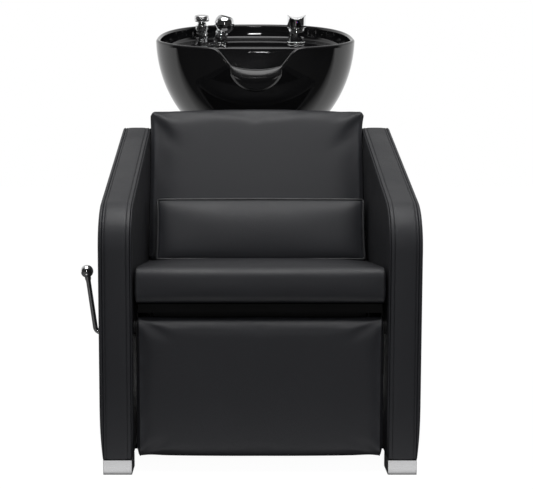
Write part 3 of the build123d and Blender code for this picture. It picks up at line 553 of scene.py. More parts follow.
def vinyl_grain_group(name: str) -> bpy.types.NodeTree:
    """Pressed leather grain: rounded pebbles of two sizes, with fine creases over them."""
    bench, given, leave = new_group(name, SCALED, {"Height": "Float", "Pores": "Float"})
    place = given["Vector"]
    bent = bench.noise(place, 260.0, 2.0)
    shifted = bench.add("VectorMath", {0: place, 1: bent}, operation="ADD").outputs[0]
    finer = bench.math("MULTIPLY", given["Scale"], 2.3)
    pebbles, small = (
        bench.add(
            "TexVoronoi",
            {"Vector": place, "Scale": scale, "Smoothness": smoothness},
            feature="SMOOTH_F1",
        ).outputs["Distance"]
        for scale, smoothness in ((given["Scale"], 0.35), (finer, 0.3))
    )
    creases = bench.noise(shifted, 420.0, 4.0)
    both = bench.math("MULTIPLY_ADD", small, 0.45, pebbles)
    height = bench.math("MULTIPLY_ADD", creases, -0.5, both)
    raised = bench.math("MULTIPLY", height, -1.0)
    bench.feed_all(leave, {"Height": raised, "Pores": bench.range(both, (0.35, 0.8))})
    return bench.tree


def mottle_group(name: str) -> bpy.types.NodeTree:
    """Cloudy variation from 0 to 1: a broad and a fine noise added together."""
    bench, given, leave = new_group(name, SCALED, {"Value": "Float"})
    broad = bench.noise(given["Vector"], given["Scale"], 2.0)
    fine = bench.noise(given["Vector"], bench.math("MULTIPLY", given["Scale"], 7.0), 4.0)
    total = bench.math("MULTIPLY_ADD", fine, 0.4, broad)
    bench.feed_all(leave, {"Value": bench.range(total, (0.5, 0.9))})
    return bench.tree


def wear_group(name: str) -> bpy.types.NodeTree:
    """Mask of rubbed places: what the piece's rub attribute marks, broken up by noise."""
    bench, given, leave = new_group(name, VECTOR | {"Rub": "Float"}, {"Mask": "Float"})
    patches = bench.noise(given["Vector"], 38.0, 5.0)
    broken = bench.range(patches, (0.38, 0.66), (0.15, 1.0))
    bench.feed_all(leave, {"Mask": bench.math("MULTIPLY", given["Rub"], broken)})
    return bench.tree


def smudge_group(name: str) -> bpy.types.NodeTree:
    """Faint marks of cloth and water on a polished surface, from 0 to 1."""
    bench, given, leave = new_group(name, VECTOR, {"Value": "Float"})
    wiped = bench.noise(bench.stretched(given["Vector"], (9.0, 26.0, 14.0)), 1.0, 5.0)
    spots = bench.noise(given["Vector"], 120.0, 2.0)
    drops = bench.range(spots, (0.62, 0.74), (0.0, 0.5))
    total = bench.math("ADD", bench.range(wiped, (0.4, 0.75), (0.0, 0.6)), drops)
    bench.feed_all(leave, {"Value": total})
    return bench.tree


def brushed_group(name: str) -> bpy.types.NodeTree:
    """Fine brushing lines along X, as height and as a mask."""
    bench, given, leave = new_group(name, VECTOR, {"Height": "Float", "Value": "Float"})
    lines = bench.noise(bench.stretched(given["Vector"], (18.0, 900.0, 2200.0)), 1.0, 4.0)
    bench.feed_all(leave, {"Height": lines, "Value": bench.range(lines, (0.3, 0.7))})
    return bench.tree


def wood_group(name: str) -> bpy.types.NodeTree:
    """Wood: long grain along Y, and the layers of a ply across X."""
    bench, given, leave = new_group(name, VECTOR, {"Grain": "Float", "Ply": "Float"})
    grain = bench.noise(bench.stretched(given["Vector"], (160.0, 6.0, 90.0)), 1.0, 5.0)
    values = {"Vector": given["Vector"], "Scale": 95.0, "Distortion": 0.4}
    layers = bench.add("TexWave", values, bands_direction="X").outputs["Fac"]
    bench.feed_all(leave, {"Grain": bench.range(grain, (0.3, 0.7)), "Ply": layers})
    return bench.tree


def peel_group(name: str) -> bpy.types.NodeTree:
    """Slight waviness of sprayed paint or fired glaze."""
    bench, given, leave = new_group(name, SCALED, {"Height": "Float"})
    bench.feed_all(leave, {"Height": bench.noise(given["Vector"], given["Scale"], 1.0)})
    return bench.tree


GROUP_MAKERS = {
    "vinyl_grain": vinyl_grain_group,
    "mottle": mottle_group,
    "wear": wear_group,
    "smudges": smudge_group,
    "brushed": brushed_group,
    "wood_grain": wood_group,
    "orange_peel": peel_group,
}


@dataclass(frozen=True)
class Finish:
    """Colour and gloss of one material of the bed."""

    name: str
    slot: str
    colour: tuple[float, float, float]
    roughness: float

    def material(self) -> bpy.types.Material:
        """The finish's material, made when it is first asked for."""
        made = bpy.data.materials.get(self.name)
        if made:
            return made
        made = bpy.data.materials.new(self.name)
        made.use_nodes = True
        bench = NodeBench(made.node_tree)
        shader = made.node_tree.nodes["Principled BSDF"]
        bench.feed(shader.inputs["Base Color"], (*self.colour, 1.0))
        place = bench.add("TexCoord").outputs["Object"]
        self.draw(bench, shader, place)
        return made

    def shade(self, factor: float) -> tuple[float, float, float, float]:
        """The finish's colour, darker or lighter by a factor."""
        return tuple(min(part * factor, 1.0) for part in self.colour) + (1.0,)

    def rougher(self, bench: NodeBench, share: Socket, low: float, high: float) -> Socket:
        """Roughness that runs over a span about the finish's own, by a share from 0 to 1."""
        return bench.range(share, (0.0, 1.0), (self.roughness + low, self.roughness + high))

    def bump(self, bench: NodeBench, height: Socket, depth: float) -> Socket:
        """Normal of a surface raised by a pattern whose full range is the depth, in metres."""
        values = {"Height": height, "Distance": depth, "Strength": 1.0}
        return bench.add("Bump", values).outputs[0]

    def draw(self, bench: NodeBench, shader: bpy.types.Node, place: Socket) -> None:
        """Join the patterns of the finish to its shader."""
        raise NotImplementedError


@dataclass(frozen=True)
class Vinyl(Finish):
    """Upholstery vinyl with a pressed grain, slightly polished where it is rubbed."""

    grain_scale: float = 720.0
    grain_depth: float = 0.00012

    def draw(self, bench: NodeBench, shader: bpy.types.Node, place: Socket) -> None:
        """Grain to height, clouds to colour and roughness, rubbed places to both."""
        grain = bench.group("vinyl_grain", Vector=place, Scale=self.grain_scale)
        clouds = bench.group("mottle", Vector=place, Scale=7.0)["Value"]
        rub = bench.add("Attribute", attribute_name="rub").outputs["Fac"]
        worn = bench.group("wear", Vector=place, Rub=rub)["Mask"]
        cloudy = bench.blend(clouds, self.shade(0.86), self.shade(1.14))
        pored = bench.blend(grain["Pores"], cloudy, self.shade(0.8))
        rough = self.rougher(bench, clouds, -0.04, 0.05)
        rough = bench.math("MULTIPLY_ADD", grain["Pores"], 0.06, rough)
        bench.feed_all(shader, {
            "Base Color": bench.blend(worn, pored, self.shade(1.7)),
            "Roughness": bench.math("MULTIPLY_ADD", worn, -0.1, rough),
            "Normal": self.bump(bench, grain["Height"], self.grain_depth),
        })


@dataclass(frozen=True)
class Thread(Finish):
    """Sewing thread: a twisted pattern along its length."""

    def draw(self, bench: NodeBench, shader: bpy.types.Node, place: Socket) -> None:
        """Twist to colour, roughness and height."""
        twist = bench.noise(bench.stretched(place, (900.0, 2600.0, 2600.0)), 1.0, 2.0)
        bench.feed_all(shader, {
            "Base Color": bench.blend(twist, self.shade(0.7), self.shade(1.3)),
            "Roughness": bench.range(twist, (0.3, 0.7), (self.roughness, 0.8)),
            "Normal": self.bump(bench, twist, 0.0001),
        })


@dataclass(frozen=True)
class Glaze(Finish):
    """Fired gloss glaze with a faint waviness and wiped marks."""

    def draw(self, bench: NodeBench, shader: bpy.types.Node, place: Socket) -> None:
        """Clouds to colour, marks to roughness, waviness to height."""
        marks = bench.group("smudges", Vector=place)["Value"]
        clouds = bench.group("mottle", Vector=place, Scale=5.0)["Value"]
        wave = bench.group("orange_peel", Vector=place, Scale=55.0)["Height"]
        bench.feed_all(shader, {
            "Base Color": bench.blend(clouds, self.shade(0.8), self.shade(1.2)),
            "Roughness": bench.range(marks, (0.0, 1.1), (self.roughness, self.roughness + 0.05)),
            "IOR": 1.52,
            "Normal": self.bump(bench, wave, 0.00006),
        })


@dataclass(frozen=True)
class Polished(Finish):
    """Chrome plate with faint smudges."""

    def draw(self, bench: NodeBench, shader: bpy.types.Node, place: Socket) -> None:
        """Smudges to roughness and colour."""
        marks = bench.group("smudges", Vector=place)["Value"]
        bench.feed_all(shader, {
            "Base Color": bench.blend(marks, self.shade(1.0), self.shade(0.9)),
            "Roughness": bench.range(marks, (0.0, 1.1), (self.roughness, self.roughness + 0.07)),
            "Metallic": 1.0,
        })


@dataclass(frozen=True)
class Brushed(Finish):
    """Metal brushed along X."""

    def draw(self, bench: NodeBench, shader: bpy.types.Node, place: Socket) -> None:
        """Brushing lines to roughness, colour and height."""
        lines = bench.group("brushed", Vector=place)
        clouds = bench.group("mottle", Vector=place, Scale=14.0)["Value"]
        tone = bench.blend(lines["Value"], self.shade(0.86), self.shade(1.06))
        bench.feed_all(shader, {
            "Base Color": bench.blend(clouds, tone, self.shade(0.94)),
            "Roughness": self.rougher(bench, lines["Value"], -0.07, 0.09),
            "Metallic": 1.0,
            "Normal": self.bump(bench, lines["Height"], 0.00002),
        })


@dataclass(frozen=True)
class Painted(Finish):
    """Powder coat, moulded plastic or rubber: a fine skin, dusty in places."""

    texture_scale: float = 900.0
    texture_depth: float = 0.00005
    sheen: float = 0.5

    def draw(self, bench: NodeBench, shader: bpy.types.Node, place: Socket) -> None:
        """Skin to height, dust to colour and roughness."""
        skin = bench.group("orange_peel", Vector=place, Scale=self.texture_scale)["Height"]
        clouds = bench.group("mottle", Vector=place, Scale=9.0)["Value"]
        dusty = bench.range(clouds, (0.35, 1.0))
        bench.feed_all(shader, {
            "Base Color": bench.blend(dusty, self.shade(0.9), self.shade(1.35)),
            "Roughness": self.rougher(bench, dusty, 0.0, 0.1),
            "Specular IOR Level": self.sheen,
            "Normal": self.bump(bench, skin, self.texture_depth),
        })


@dataclass(frozen=True)
class Plywood(Finish):
    """Sanded ply, with its layers on the cut edges."""

    def draw(self, bench: NodeBench, shader: bpy.types.Node, place: Socket) -> None:
        """Grain and layers to colour, grain to roughness and height."""
        wood = bench.group("wood_grain", Vector=place)
        face = bench.blend(wood["Grain"], self.shade(0.75), self.shade(1.1))
        layers = bench.math("MULTIPLY", wood["Ply"], 0.45)
        bench.feed_all(shader, {
            "Base Color": bench.blend(layers, face, self.shade(0.5)),
            "Roughness": self.rougher(bench, wood["Grain"], -0.1, 0.0),
            "Normal": self.bump(bench, wood["Grain"], 0.0001),
        })


VINYL = Vinyl("black_vinyl", "vinyl", (0.0205, 0.0211, 0.0245), 0.47)
PIPING = Vinyl("piping_vinyl", "vinyl", (0.024, 0.0245, 0.026), 0.38, 900.0, 0.00006)
THREAD = Thread("sewing_thread", "vinyl", (0.012, 0.012, 0.013), 0.55)
# Black board lining, darker than the black vinyl. Its colour is partly the board's own black and
# partly painted shade from the seat's overhang.
BOARD_DARKENED_AS_SHADE = Painted("board_lining_painted_shade", "plywood", (0.0025, 0.0025, 0.0026), 0.75, 1400.0, 0.00008, 0.15)
PLY = Plywood("birch_ply", "plywood", (0.56, 0.42, 0.26), 0.62)
GLAZE = Glaze("black_glaze", "glaze", (0.006, 0.006, 0.0065), 0.035)
CHROME = Polished("chrome_plate", "chrome", (0.86, 0.865, 0.87), 0.04)
SATIN = Polished("satin_chrome", "chrome", (0.88, 0.88, 0.885), 0.24)
FOOT_METAL = Brushed("brushed_aluminium", "foot_metal", (0.88, 0.88, 0.89), 0.3)
STEEL = Brushed("bare_steel", "bare_steel", (0.55, 0.55, 0.56), 0.36)
FRAME_PAINT = Painted("frame_powder_coat", "frame_paint", (0.005, 0.005, 0.0052), 0.55, sheen=0.25)
PLASTIC = Painted("black_moulded_plastic", "black_plastic", (0.03, 0.03, 0.031), 0.5)
RUBBER = Painted("neck_rest_rubber", "neck_rubber", (0.010, 0.010, 0.0105), 0.22, 260.0, 0.00003)
HOT_MARK = Painted("hot_mark", "black_plastic", (0.5, 0.02, 0.02), 0.3)
COLD_MARK = Painted("cold_mark", "black_plastic", (0.02, 0.06, 0.45), 0.3)

SLOT_FINISHES = {
    "vinyl": VINYL,
    "plywood": PLY,
    "foot_metal": FOOT_METAL,
    "frame_paint": FRAME_PAINT,
    "bare_steel": STEEL,
    "chrome": CHROME,
    "black_plastic": PLASTIC,
    "glaze": GLAZE,
    "neck_rubber": RUBBER,
}
# All three boards take the lining whose darkened colour holds painted shade.
NODE_FINISHES = {"back_board": BOARD_DARKENED_AS_SHADE, "seat_board": BOARD_DARKENED_AS_SHADE, "legrest_board": BOARD_DARKENED_AS_SHADE}


def hand_in(
    piece: bpy.types.Object, body: str, finish: Finish, replaced: tuple[str, ...] = ()
) -> bpy.types.Object:
    """Give a finished piece its material, its body and what it stands for.

    Args:
        piece: the finished object.
        body: CAD body that it moves with.
        finish: its finish.
        replaced: CAD nodes that it stands for.

    Returns:
        The same object.
    """
    piece.data.materials.append(finish.material())
    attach(piece, body)
    if replaced:
        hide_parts(*replaced)
    log.info("%s rides on %s, %d faces", piece.name, body, len(piece.data.polygons))
    return piece


def dress_nodes() -> None:
    """Give every CAD node the finish of its own slot."""
    slots = {part["node"]: part["material_slot"] for part in frame["record"]["subparts"]}
    for name, node in frame["nodes"].items():
        finish = NODE_FINISHES.get(name, SLOT_FINISHES[slots[name]])
        node.data.materials.clear()
        node.data.materials.append(finish.material())


# Arms


@dataclass
class Arm:
    """Padded arm: two pads, and the band sewn between them round the edge."""

    side: Side
    floor_depth: float = 0.690
    top_depth: float = 0.630
    base_height: float = 0.030
    front_height: float = 0.540
    rear_height: float = 0.714
    front_radius: float = 0.100
    rear_radius: float = 0.035
    base_radius: float = 0.006
    core_outer_x: float = 0.308
    core_inner_x: float = 0.288
    outer_seam_x: float = 0.322
    inner_seam_x: float = 0.2645
    band_thickness: float = 0.012
    base_draw: float = 0.120
    base_pinch: float = 0.8
    base_power: float = 2.6
    hidden_rims: tuple[tuple[float, float], ...] = ((0.004, 0.006), (0.0, 0.002))
    base_slack: float = 0.0015
    least_inset: float = 0.0002
    roll_rings: int = 26
    face_rings: int = 14
    face_crowding: float = 1.3
    face_swell: float = 0.0012
    band_rings: int = 96
    pucker_depth: float = 0.00022
    pucker_reach: float = 0.0035
    pucker_period: float = 0.017
    wave_depth: float = 0.00035
    wave_period: float = 0.21
    outer_stitch_x: float = 0.3165
    inner_stitch_x: float = 0.2725
    stitch_inset: float = 0.0016
    stitch_pitch: float = 0.0062
    stitch_length: float = 0.0044
    stitch_start: int = 10
    thread_radius: float = 0.0004

    def outline(self) -> RoundedOutline:
        """Outline of the arm from the side, from its front foot."""
        corners = (
            (0.0, self.base_height),
            (self.floor_depth, self.base_height),
            (self.top_depth, self.rear_height),
            (0.0, self.front_height),
        )
        radii = (self.base_radius, self.base_radius, self.rear_radius, self.front_radius)
        return RoundedOutline(corners, radii, (60, 70, 64, 56), 18)

    def ring(self, x: float, edge: float, base: float | None = None) -> Array:
        """Ring round the arm at a place across the bed, set in from its edge and its base."""
        base = edge if base is None else base
        flat = self.outline().ring((base, edge, edge, edge))
        return xyz(self.side.value * x, FRONT_Y + flat[:, 0], flat[:, 1])

    def swell(self, height: Array) -> Array:
        """How far the pads stand out at a height: they are drawn in towards the base, by a
        power of the height that is left up to the top of that draw."""
        left = np.clip(1 - (height - self.base_height) / self.base_draw, 0, 1)
        return 1 - self.base_pinch * left**self.base_power

    def pad(self, name: str, seam_x: float, back_x: float, profile: Profile) -> bpy.types.Object:
        """One side pad: rings from its hidden back, out of the seam, round the roll and over
        the face to the middle. Past the roll each ring is the last one drawn towards the
        middle of the face, and the face swells by one minus the fourth power of the draw.

        Args:
            name: name of the piece, without its side.
            seam_x: place of the seam across the bed.
            back_x: place of the pad's hidden back.
            profile: how far out of the seam and how far from the edge the roll runs.

        Returns:
            The new object.
        """
        way = 1 if seam_x > back_x else -1
        thick = self.band_thickness
        rings = [self.ring(back_x, thick + more, base) for more, base in self.hidden_rims]
        for out, edge in flowing(np.array(profile), self.roll_rings):
            base = max(min(edge, thick) - self.base_slack, self.least_inset)
            ring = self.ring(seam_x, edge, base)
            ring[:, 0] += self.side.value * way * out * self.swell(ring[:, 2])
            rings.append(ring)
        last = rings[-1]
        middle = last.mean(axis=0)
        middle[0] = last[:, 0].max() if self.side.value * way > 0 else last[:, 0].min()
        draws = np.linspace(0, 1, self.face_rings + 1)[1:-1]
        for share in 1 - (1 - draws) ** self.face_crowding:
            ring = last + (middle - last) * share
            drawn = self.swell(ring[:, 2])
            out = profile[-1][0] + self.face_swell * (1 - (1 - share) ** 4)
            ring[:, 0] = self.side.value * (seam_x + way * out * drawn)
            rings.append(ring)
        return surface(f"{name}_{self.side.word}", np.array(rings))

    def outer_pad(self) -> bpy.types.Object:
        """Pad on the outer cheek, with the fat roll that shows beside the seam."""
        profile = [
            (-0.0006, 0.0115), (-0.0004, 0.0075), (-0.0003, 0.0038), (0.0006, 0.0016),
            (0.0026, 0.0009), (0.0052, 0.0020), (0.0071, 0.0052), (0.0078, 0.0105),
            (0.0080, 0.0200), (0.0080, 0.0340),
        ]
        return self.pad("outer_cheek", self.outer_seam_x, self.core_outer_x, profile)

    def inner_pad(self) -> bpy.types.Object:
        """Pad on the inner cheek."""
        profile = [
            (-0.0006, 0.0115), (-0.0004, 0.0080), (-0.0002, 0.0044), (0.0005, 0.0024),
            (0.0018, 0.0016), (0.0030, 0.0030), (0.0037, 0.0065), (0.0040, 0.0120),
            (0.0040, 0.0220), (0.0040, 0.0340),
        ]
        return self.pad("inner_cheek", self.inner_seam_x, self.core_inner_x, profile)

    def band_profile(self) -> Array:
        """Section of the band: place across the bed and distance in from the edge. The middle
        is crowned, and a groove runs under each row of stitches."""
        outer, inner = self.outer_seam_x, self.inner_seam_x
        stitch, far = self.outer_stitch_x, self.inner_stitch_x
        shown = [
            (outer - 0.0002, 0.0100), (outer - 0.0002, 0.0055), (outer - 0.0004, 0.0030),
            (outer - 0.0014, 0.0013), (outer - 0.0030, 0.0009), (stitch + 0.0012, 0.0011),
            (stitch, 0.0018), (stitch - 0.0014, 0.0009), (stitch - 0.0060, 0.0003),
            ((outer + inner) / 2 + 0.006, 0.0), ((outer + inner) / 2 - 0.006, 0.0),
            (far + 0.0060, 0.0003), (far + 0.0014, 0.0009), (far, 0.0018),
            (far - 0.0012, 0.0011), (inner + 0.0034, 0.0010), (inner + 0.0014, 0.0014),
            (inner + 0.0004, 0.0030), (inner + 0.0002, 0.0055), (inner + 0.0002, 0.0100),
        ]
        return flowing(np.array(shown), self.band_rings)

    def band(self) -> bpy.types.Object:
        """Band round the edge: the section goes round the arm, with small puckers beside each
        row of stitches that fade with the distance from it."""
        width = self.outer_seam_x - self.inner_seam_x
        step = 0.001
        rings = []
        for x, edge in self.band_profile():
            ring = self.ring(x, edge)
            run = lengths(ring)
            near = min(abs(x - self.outer_stitch_x), abs(x - self.inner_stitch_x))
            pucker = self.pucker_depth * np.exp(-((near / self.pucker_reach) ** 2))
            pucker *= unevenness(run, self.pucker_period)
            soft = self.wave_depth * sin(pi * (x - self.inner_seam_x) / width)
            soft *= unevenness(run + 0.3, self.wave_period)
            deeper = self.ring(x, edge + step)
            rings.append(ring + (deeper - ring) * ((pucker + soft) / step)[:, None])
        inner, outer = self.inner_seam_x + self.least_inset, self.outer_seam_x - self.least_inset
        for x in np.linspace(inner, outer, 6):
            rings.append(self.ring(x, self.band_thickness, self.band_thickness - step))
        name = f"edge_band_{self.side.word}"
        return surface(name, np.array(rings), close_rows=True, capped=False)

    def stitches(self) -> bpy.types.Object:
        """Two rows of topstitching up the rear, over the top and down the front."""
        draft = MeshDraft(f"arm_stitches_{self.side.word}")
        for x in (self.outer_stitch_x, self.inner_stitch_x):
            line = self.ring(x, self.stitch_inset)
            outward = unit(line - self.ring(x, 2 * self.stitch_inset))
            rear = int(np.argmax(line[:, 1] > FRONT_Y + self.floor_depth - 0.02))
            keep = slice(rear + self.stitch_start, None)
            sewn = (self.stitch_pitch, self.stitch_length, self.thread_radius)
            draft.add(*stitch_row(line[keep], outward[keep], *sewn))
        return draft.build()

    def build(self) -> None:
        """Make and hand in the arm's pieces."""
        makers = {
            "arm_outer_pad": self.outer_pad, "arm_inner_pad": self.inner_pad,
            "arm_band": self.band,
        }
        pads = [
            hand_in(make(), "base", VINYL, (f"{node}_{self.side.word}",))
            for node, make in makers.items()
        ]
        hand_in(self.stitches(), "base", THREAD)


# Cushions


@dataclass(frozen=True)
class Stuffing:
    """How hard a cover is blown up over its foam."""

    pressure: float
    cap: float
    frames: int = 18
    quality: int = 5
    stiffness: float = 15.0
    bending: float = 2.0


@dataclass
class PaddedBlock:
    """Block with rounded edges, on a lattice that has more stops round its edges."""

    half: tuple[float, float, float]
    radius: tuple[float, float, float]
    spacing: float
    arc_steps: int = 4

    def stops(self, axis: int) -> Array:
        """Places of the lattice along one axis: even over the flat, and by the tangent of
        even angles over the rounding."""
        half, radius = self.half[axis], self.radius[axis]
        angles = np.linspace(0, pi / 4, self.arc_steps + 1)[1:]
        rounding = half - radius + radius * np.tan(angles)
        count = max(int(2 * (half - radius) / self.spacing), 2) + 1
        flat = np.linspace(-(half - radius), half - radius, count)
        return np.concatenate([-rounding[::-1], flat, rounding])

    def lattice(self) -> tuple[Array, Array, dict]:
        """The block's surface: points on the box's lattice are moved on to the rounding, which
        is an ellipsoid's offset from the inner box.

        Returns:
            The points, the faces, and a dictionary from lattice place to point number.
        """
        stops = [self.stops(axis) for axis in range(3)]
        sizes = [len(s) for s in stops]
        faces = []
        for axis in range(3):
            others = [k for k in range(3) if k != axis]
            grids = np.meshgrid(*(np.arange(sizes[k]) for k in others), indexing="ij")
            for end in (0, sizes[axis] - 1):
                index = np.empty(grids[0].shape + (3,), int)
                index[..., axis] = end
                index[..., others[0]], index[..., others[1]] = grids
                key = (index[..., 0] * sizes[1] + index[..., 1]) * sizes[2] + index[..., 2]
                corners = [key[:-1, :-1], key[1:, :-1], key[1:, 1:], key[:-1, 1:]]
                faces.append(np.stack(corners, axis=-1).reshape(-1, 4))
        keys, faces = np.unique(np.concatenate(faces), return_inverse=True)
        faces = faces.reshape(-1, 4)
        place = np.stack(np.unravel_index(keys, sizes), axis=1)
        points = np.stack([stops[axis][place[:, axis]] for axis in range(3)], axis=1)
        half, radius = np.array(self.half), np.array(self.radius)
        inner = np.clip(points, radius - half, half - radius)
        points = inner + radius * unit((points - inner) / radius)
        lookup = {tuple(p): k for k, p in enumerate(place.tolist())}
        return points, faces, lookup

    def ends(self) -> tuple[int, int, int]:
        """Highest lattice number along each axis."""
        return tuple(len(self.stops(axis)) - 1 for axis in range(3))


SIDE_REACH = 0.0005
FACE_REACH = 0.001


@dataclass
class Cushion:
    """Padded piece that starts from a block and is blown up by a cloth simulation."""

    name: str
    body: str
    replaced: tuple[str, ...]
    block: PaddedBlock
    stuffing: Stuffing
    fill: float = 0.8

    def place(self, local: Array) -> Array:
        """Where the block's points lie on the bed."""
        raise NotImplementedError

    def held(self, local: Array) -> Array:
        """Which points are sewn or stapled down."""
        raise NotImplementedError

    def settle(self, points: Array) -> Array:
        """Keep the blown-up points off what the cushion rests on."""
        return points

    def sides(self, local: Array) -> Array:
        """Which points are on the two side panels."""
        return np.abs(local[:, 0]) > self.block.half[0] - SIDE_REACH

    def rear(self, local: Array) -> Array:
        """Which points are on the rear face."""
        return local[:, 1] > self.block.half[1] - FACE_REACH

    def base(self, local: Array) -> Array:
        """Which points are on the lower face."""
        return local[:, 2] < -self.block.half[2] + FACE_REACH

    def between(self, points: Array, slack: Array | float, middle: float = 0.0) -> None:
        """Move points that are more than a slack past the block's sides back there."""
        half = self.block.half[0] + slack
        points[:, 0] = np.clip(points[:, 0], middle - half, middle + half)

    def rubbed(self, local: Array) -> Array:
        """How much each point is rubbed in use."""
        half = np.array(self.block.half)
        near = np.sort(np.abs(local) / half, axis=1)[:, 1]
        return ease(near, 0.94, 1.0)

    def make(self) -> tuple[bpy.types.Object, dict]:
        """Make the cushion's cover and blow it up.

        Returns:
            The object and the lattice's dictionary from place to point number.
        """
        local, faces, lookup = self.block.lattice()
        draft = MeshDraft(self.name)
        draft.add(self.place(local), faces, self.rubbed(local))
        piece = draft.build()
        blow_up(piece, self.held(local), self.stuffing)
        write_points(piece.data, self.settle(read_points(piece.data)))
        finer = piece.modifiers.new("finer", "SUBSURF")
        finer.levels = finer.render_levels = 1
        hand_in(piece, self.body, VINYL, self.replaced)
        return piece, lookup

    def line(self, piece: bpy.types.Object, lookup: dict, places: list) -> Array:
        """Points of the finished cover along a line of lattice places."""
        points = read_points(piece.data)
        return points[[lookup[place] for place in places]]

    def seam_lips(
        self, name: str, piece: bpy.types.Object, lookup: dict, radius: float, count: int
    ) -> None:
        """Make and hand in two thin lips where the end panels are sewn on.

        Args:
            name: name of the piece.
            piece: the finished cover.
            lookup: the lattice's dictionary from place to point number.
            radius: radius of a lip.
            count: how many points run along it.
        """
        step, last = self.block.arc_steps, self.block.ends()[0]
        draft = MeshDraft(name)
        for number in (step, last - step):
            path = evenly(self.line(piece, lookup, self.seam(number)), count)
            draft.add_grid(tube(path, radius, 8, np.array([1.0, 0.0, 0.0])), caps=(True, True))
        hand_in(draft.build(), self.body, PIPING)

    def seam(self, number: int) -> list[tuple[int, int, int]]:
        """Lattice places along a seam at that number across."""
        raise NotImplementedError

    def build(self) -> None:
        """Make and hand in the cover."""
        self.make()


def read_points(mesh: bpy.types.Mesh) -> Array:
    """The mesh's points as an array."""
    flat = np.empty(len(mesh.vertices) * 3, np.float32)
    mesh.vertices.foreach_get("co", flat)
    return flat.reshape(-1, 3).astype(float)


def write_points(mesh: bpy.types.Mesh, points: Array) -> None:
    """Put an array of points back into the mesh."""
    mesh.vertices.foreach_set("co", points.astype(np.float32).ravel())
    mesh.update()


def blow_up(piece: bpy.types.Object, held: Array, stuffing: Stuffing) -> None:
    """Run Blender's cloth with air inside the closed cover, without gravity, then move each
    point by its own way of travel, shortened smoothly so that none goes past the cap: the cap
    times the hyperbolic tangent of the way divided by the cap.

    Args:
        piece: closed cover.
        held: which points stay where they are.
        stuffing: pressure, cap, number of frames and how stiff the cover is.
    """
    scene = bpy.context.scene
    before = read_points(piece.data)
    group = piece.vertex_groups.new(name="held")
    group.add(np.flatnonzero(held).tolist(), 1.0, "REPLACE")
    cloth = piece.modifiers.new("stuffing", "CLOTH")
    settings = cloth.settings
    settings.vertex_group_mass = group.name
    settings.effector_weights.gravity = 0.0
    settings.use_pressure = True
    settings.uniform_pressure_force = stuffing.pressure
    settings.quality = stuffing.quality
    settings.tension_stiffness = settings.compression_stiffness = stuffing.stiffness
    settings.bending_stiffness = stuffing.bending
    cloth.point_cache.frame_start = 1
    cloth.point_cache.frame_end = stuffing.frames
    for step in range(1, stuffing.frames + 1):
        scene.frame_set(step)
    shown = piece.evaluated_get(bpy.context.evaluated_depsgraph_get())
    way = read_points(shown.data) - before
    piece.modifiers.remove(cloth)
    piece.vertex_groups.remove(group)
    scene.frame_set(1)
    length = np.linalg.norm(way, axis=1, keepdims=True)
    way *= stuffing.cap * np.tanh(length / stuffing.cap) / np.maximum(length, 1e-9)
    write_points(piece.data, before + way)
    farthest = 1000 * np.linalg.norm(way, axis=1).max()
    log.info("%s blown up by %.1f mm at most", piece.name, farthest)


@dataclass
class Seat(Cushion):
    """Seat pad stapled under its front edge to the seat board."""

    front_depth: float = 0.012
    rear_depth: float = 0.452
    board_height: float = 0.353
    front_thickness: float = 0.075
    rear_thickness: float = 0.038
    crown: float = 0.004
    tuck_places: tuple[float, ...] = (-0.246, -0.205, 0.052, 0.148, 0.240)
    tuck_width: float = 0.006
    tuck_depth: float = 0.0022
    tuck_lifts: tuple[float, float] = (0.0030, 0.0022)
    hem_wave: float = 0.0007
    hem_period: float = 0.19
    board_gap: float = 0.0002
    side_slack: float = 0.0015

    def place(self, local: Array) -> Array:
        """Stretch the block to the seat's tapering height, crown its top by one minus the
        fourth powers of the shares across and along, and pinch a tuck at each staple place
        of the lower front edge, as wide as a normal curve."""
        across, along, up = (local / np.array(self.block.half)).T
        depth = (self.front_depth + self.rear_depth) / 2 + local[:, 1]
        share = (depth - self.front_depth) / (self.rear_depth - self.front_depth)
        thick = self.front_thickness + (self.rear_thickness - self.front_thickness) * share
        rise = (up + 1) / 2
        height = self.board_height + rise * thick
        height += self.crown * rise * (1 - across**4) * (1 - along**4)
        low_front = ease(-up, 0.2, 1.0) * ease(-along, 0.95, 1.0)
        for number, x in enumerate(self.tuck_places):
            tuck = np.exp(-(((local[:, 0] - x) / self.tuck_width) ** 2)) * low_front
            depth += self.tuck_depth * tuck
            height += self.tuck_lifts[number % 2] * tuck * ease(-up, 0.7, 1.0)
        wave = unevenness(local[:, 0], self.hem_period)
        height += self.hem_wave * (wave * ease(-up, 0.8, 1.0) * ease(-along, 0.9, 1.0))
        return xyz(local[:, 0], FRONT_Y + depth, height)

    def held(self, local: Array) -> Array:
        """The whole base, and the two side seams and panels."""
        seam = self.block.half[0] - self.block.radius[0]
        seams = np.abs(np.abs(local[:, 0]) - seam) < SIDE_REACH
        return self.base(local) | seams | self.sides(local)

    def settle(self, points: Array) -> Array:
        """Keep the base off the board and the sides off the arms."""
        points[:, 2] = np.maximum(points[:, 2], self.board_height + self.board_gap)
        self.between(points, self.side_slack)
        return points

    def seam(self, number: int) -> list[tuple[int, int, int]]:
        """Up the front and back along the top."""
        ends = self.block.ends()
        up = [(number, 0, k) for k in range(2, ends[2] + 1)]
        return up + [(number, j, ends[2]) for j in range(1, ends[1] - 2)]

    def build(self) -> None:
        """Make and hand in the seat's cover and seams."""
        self.seam_lips("seat_seams", *self.make(), 0.0011, 160)


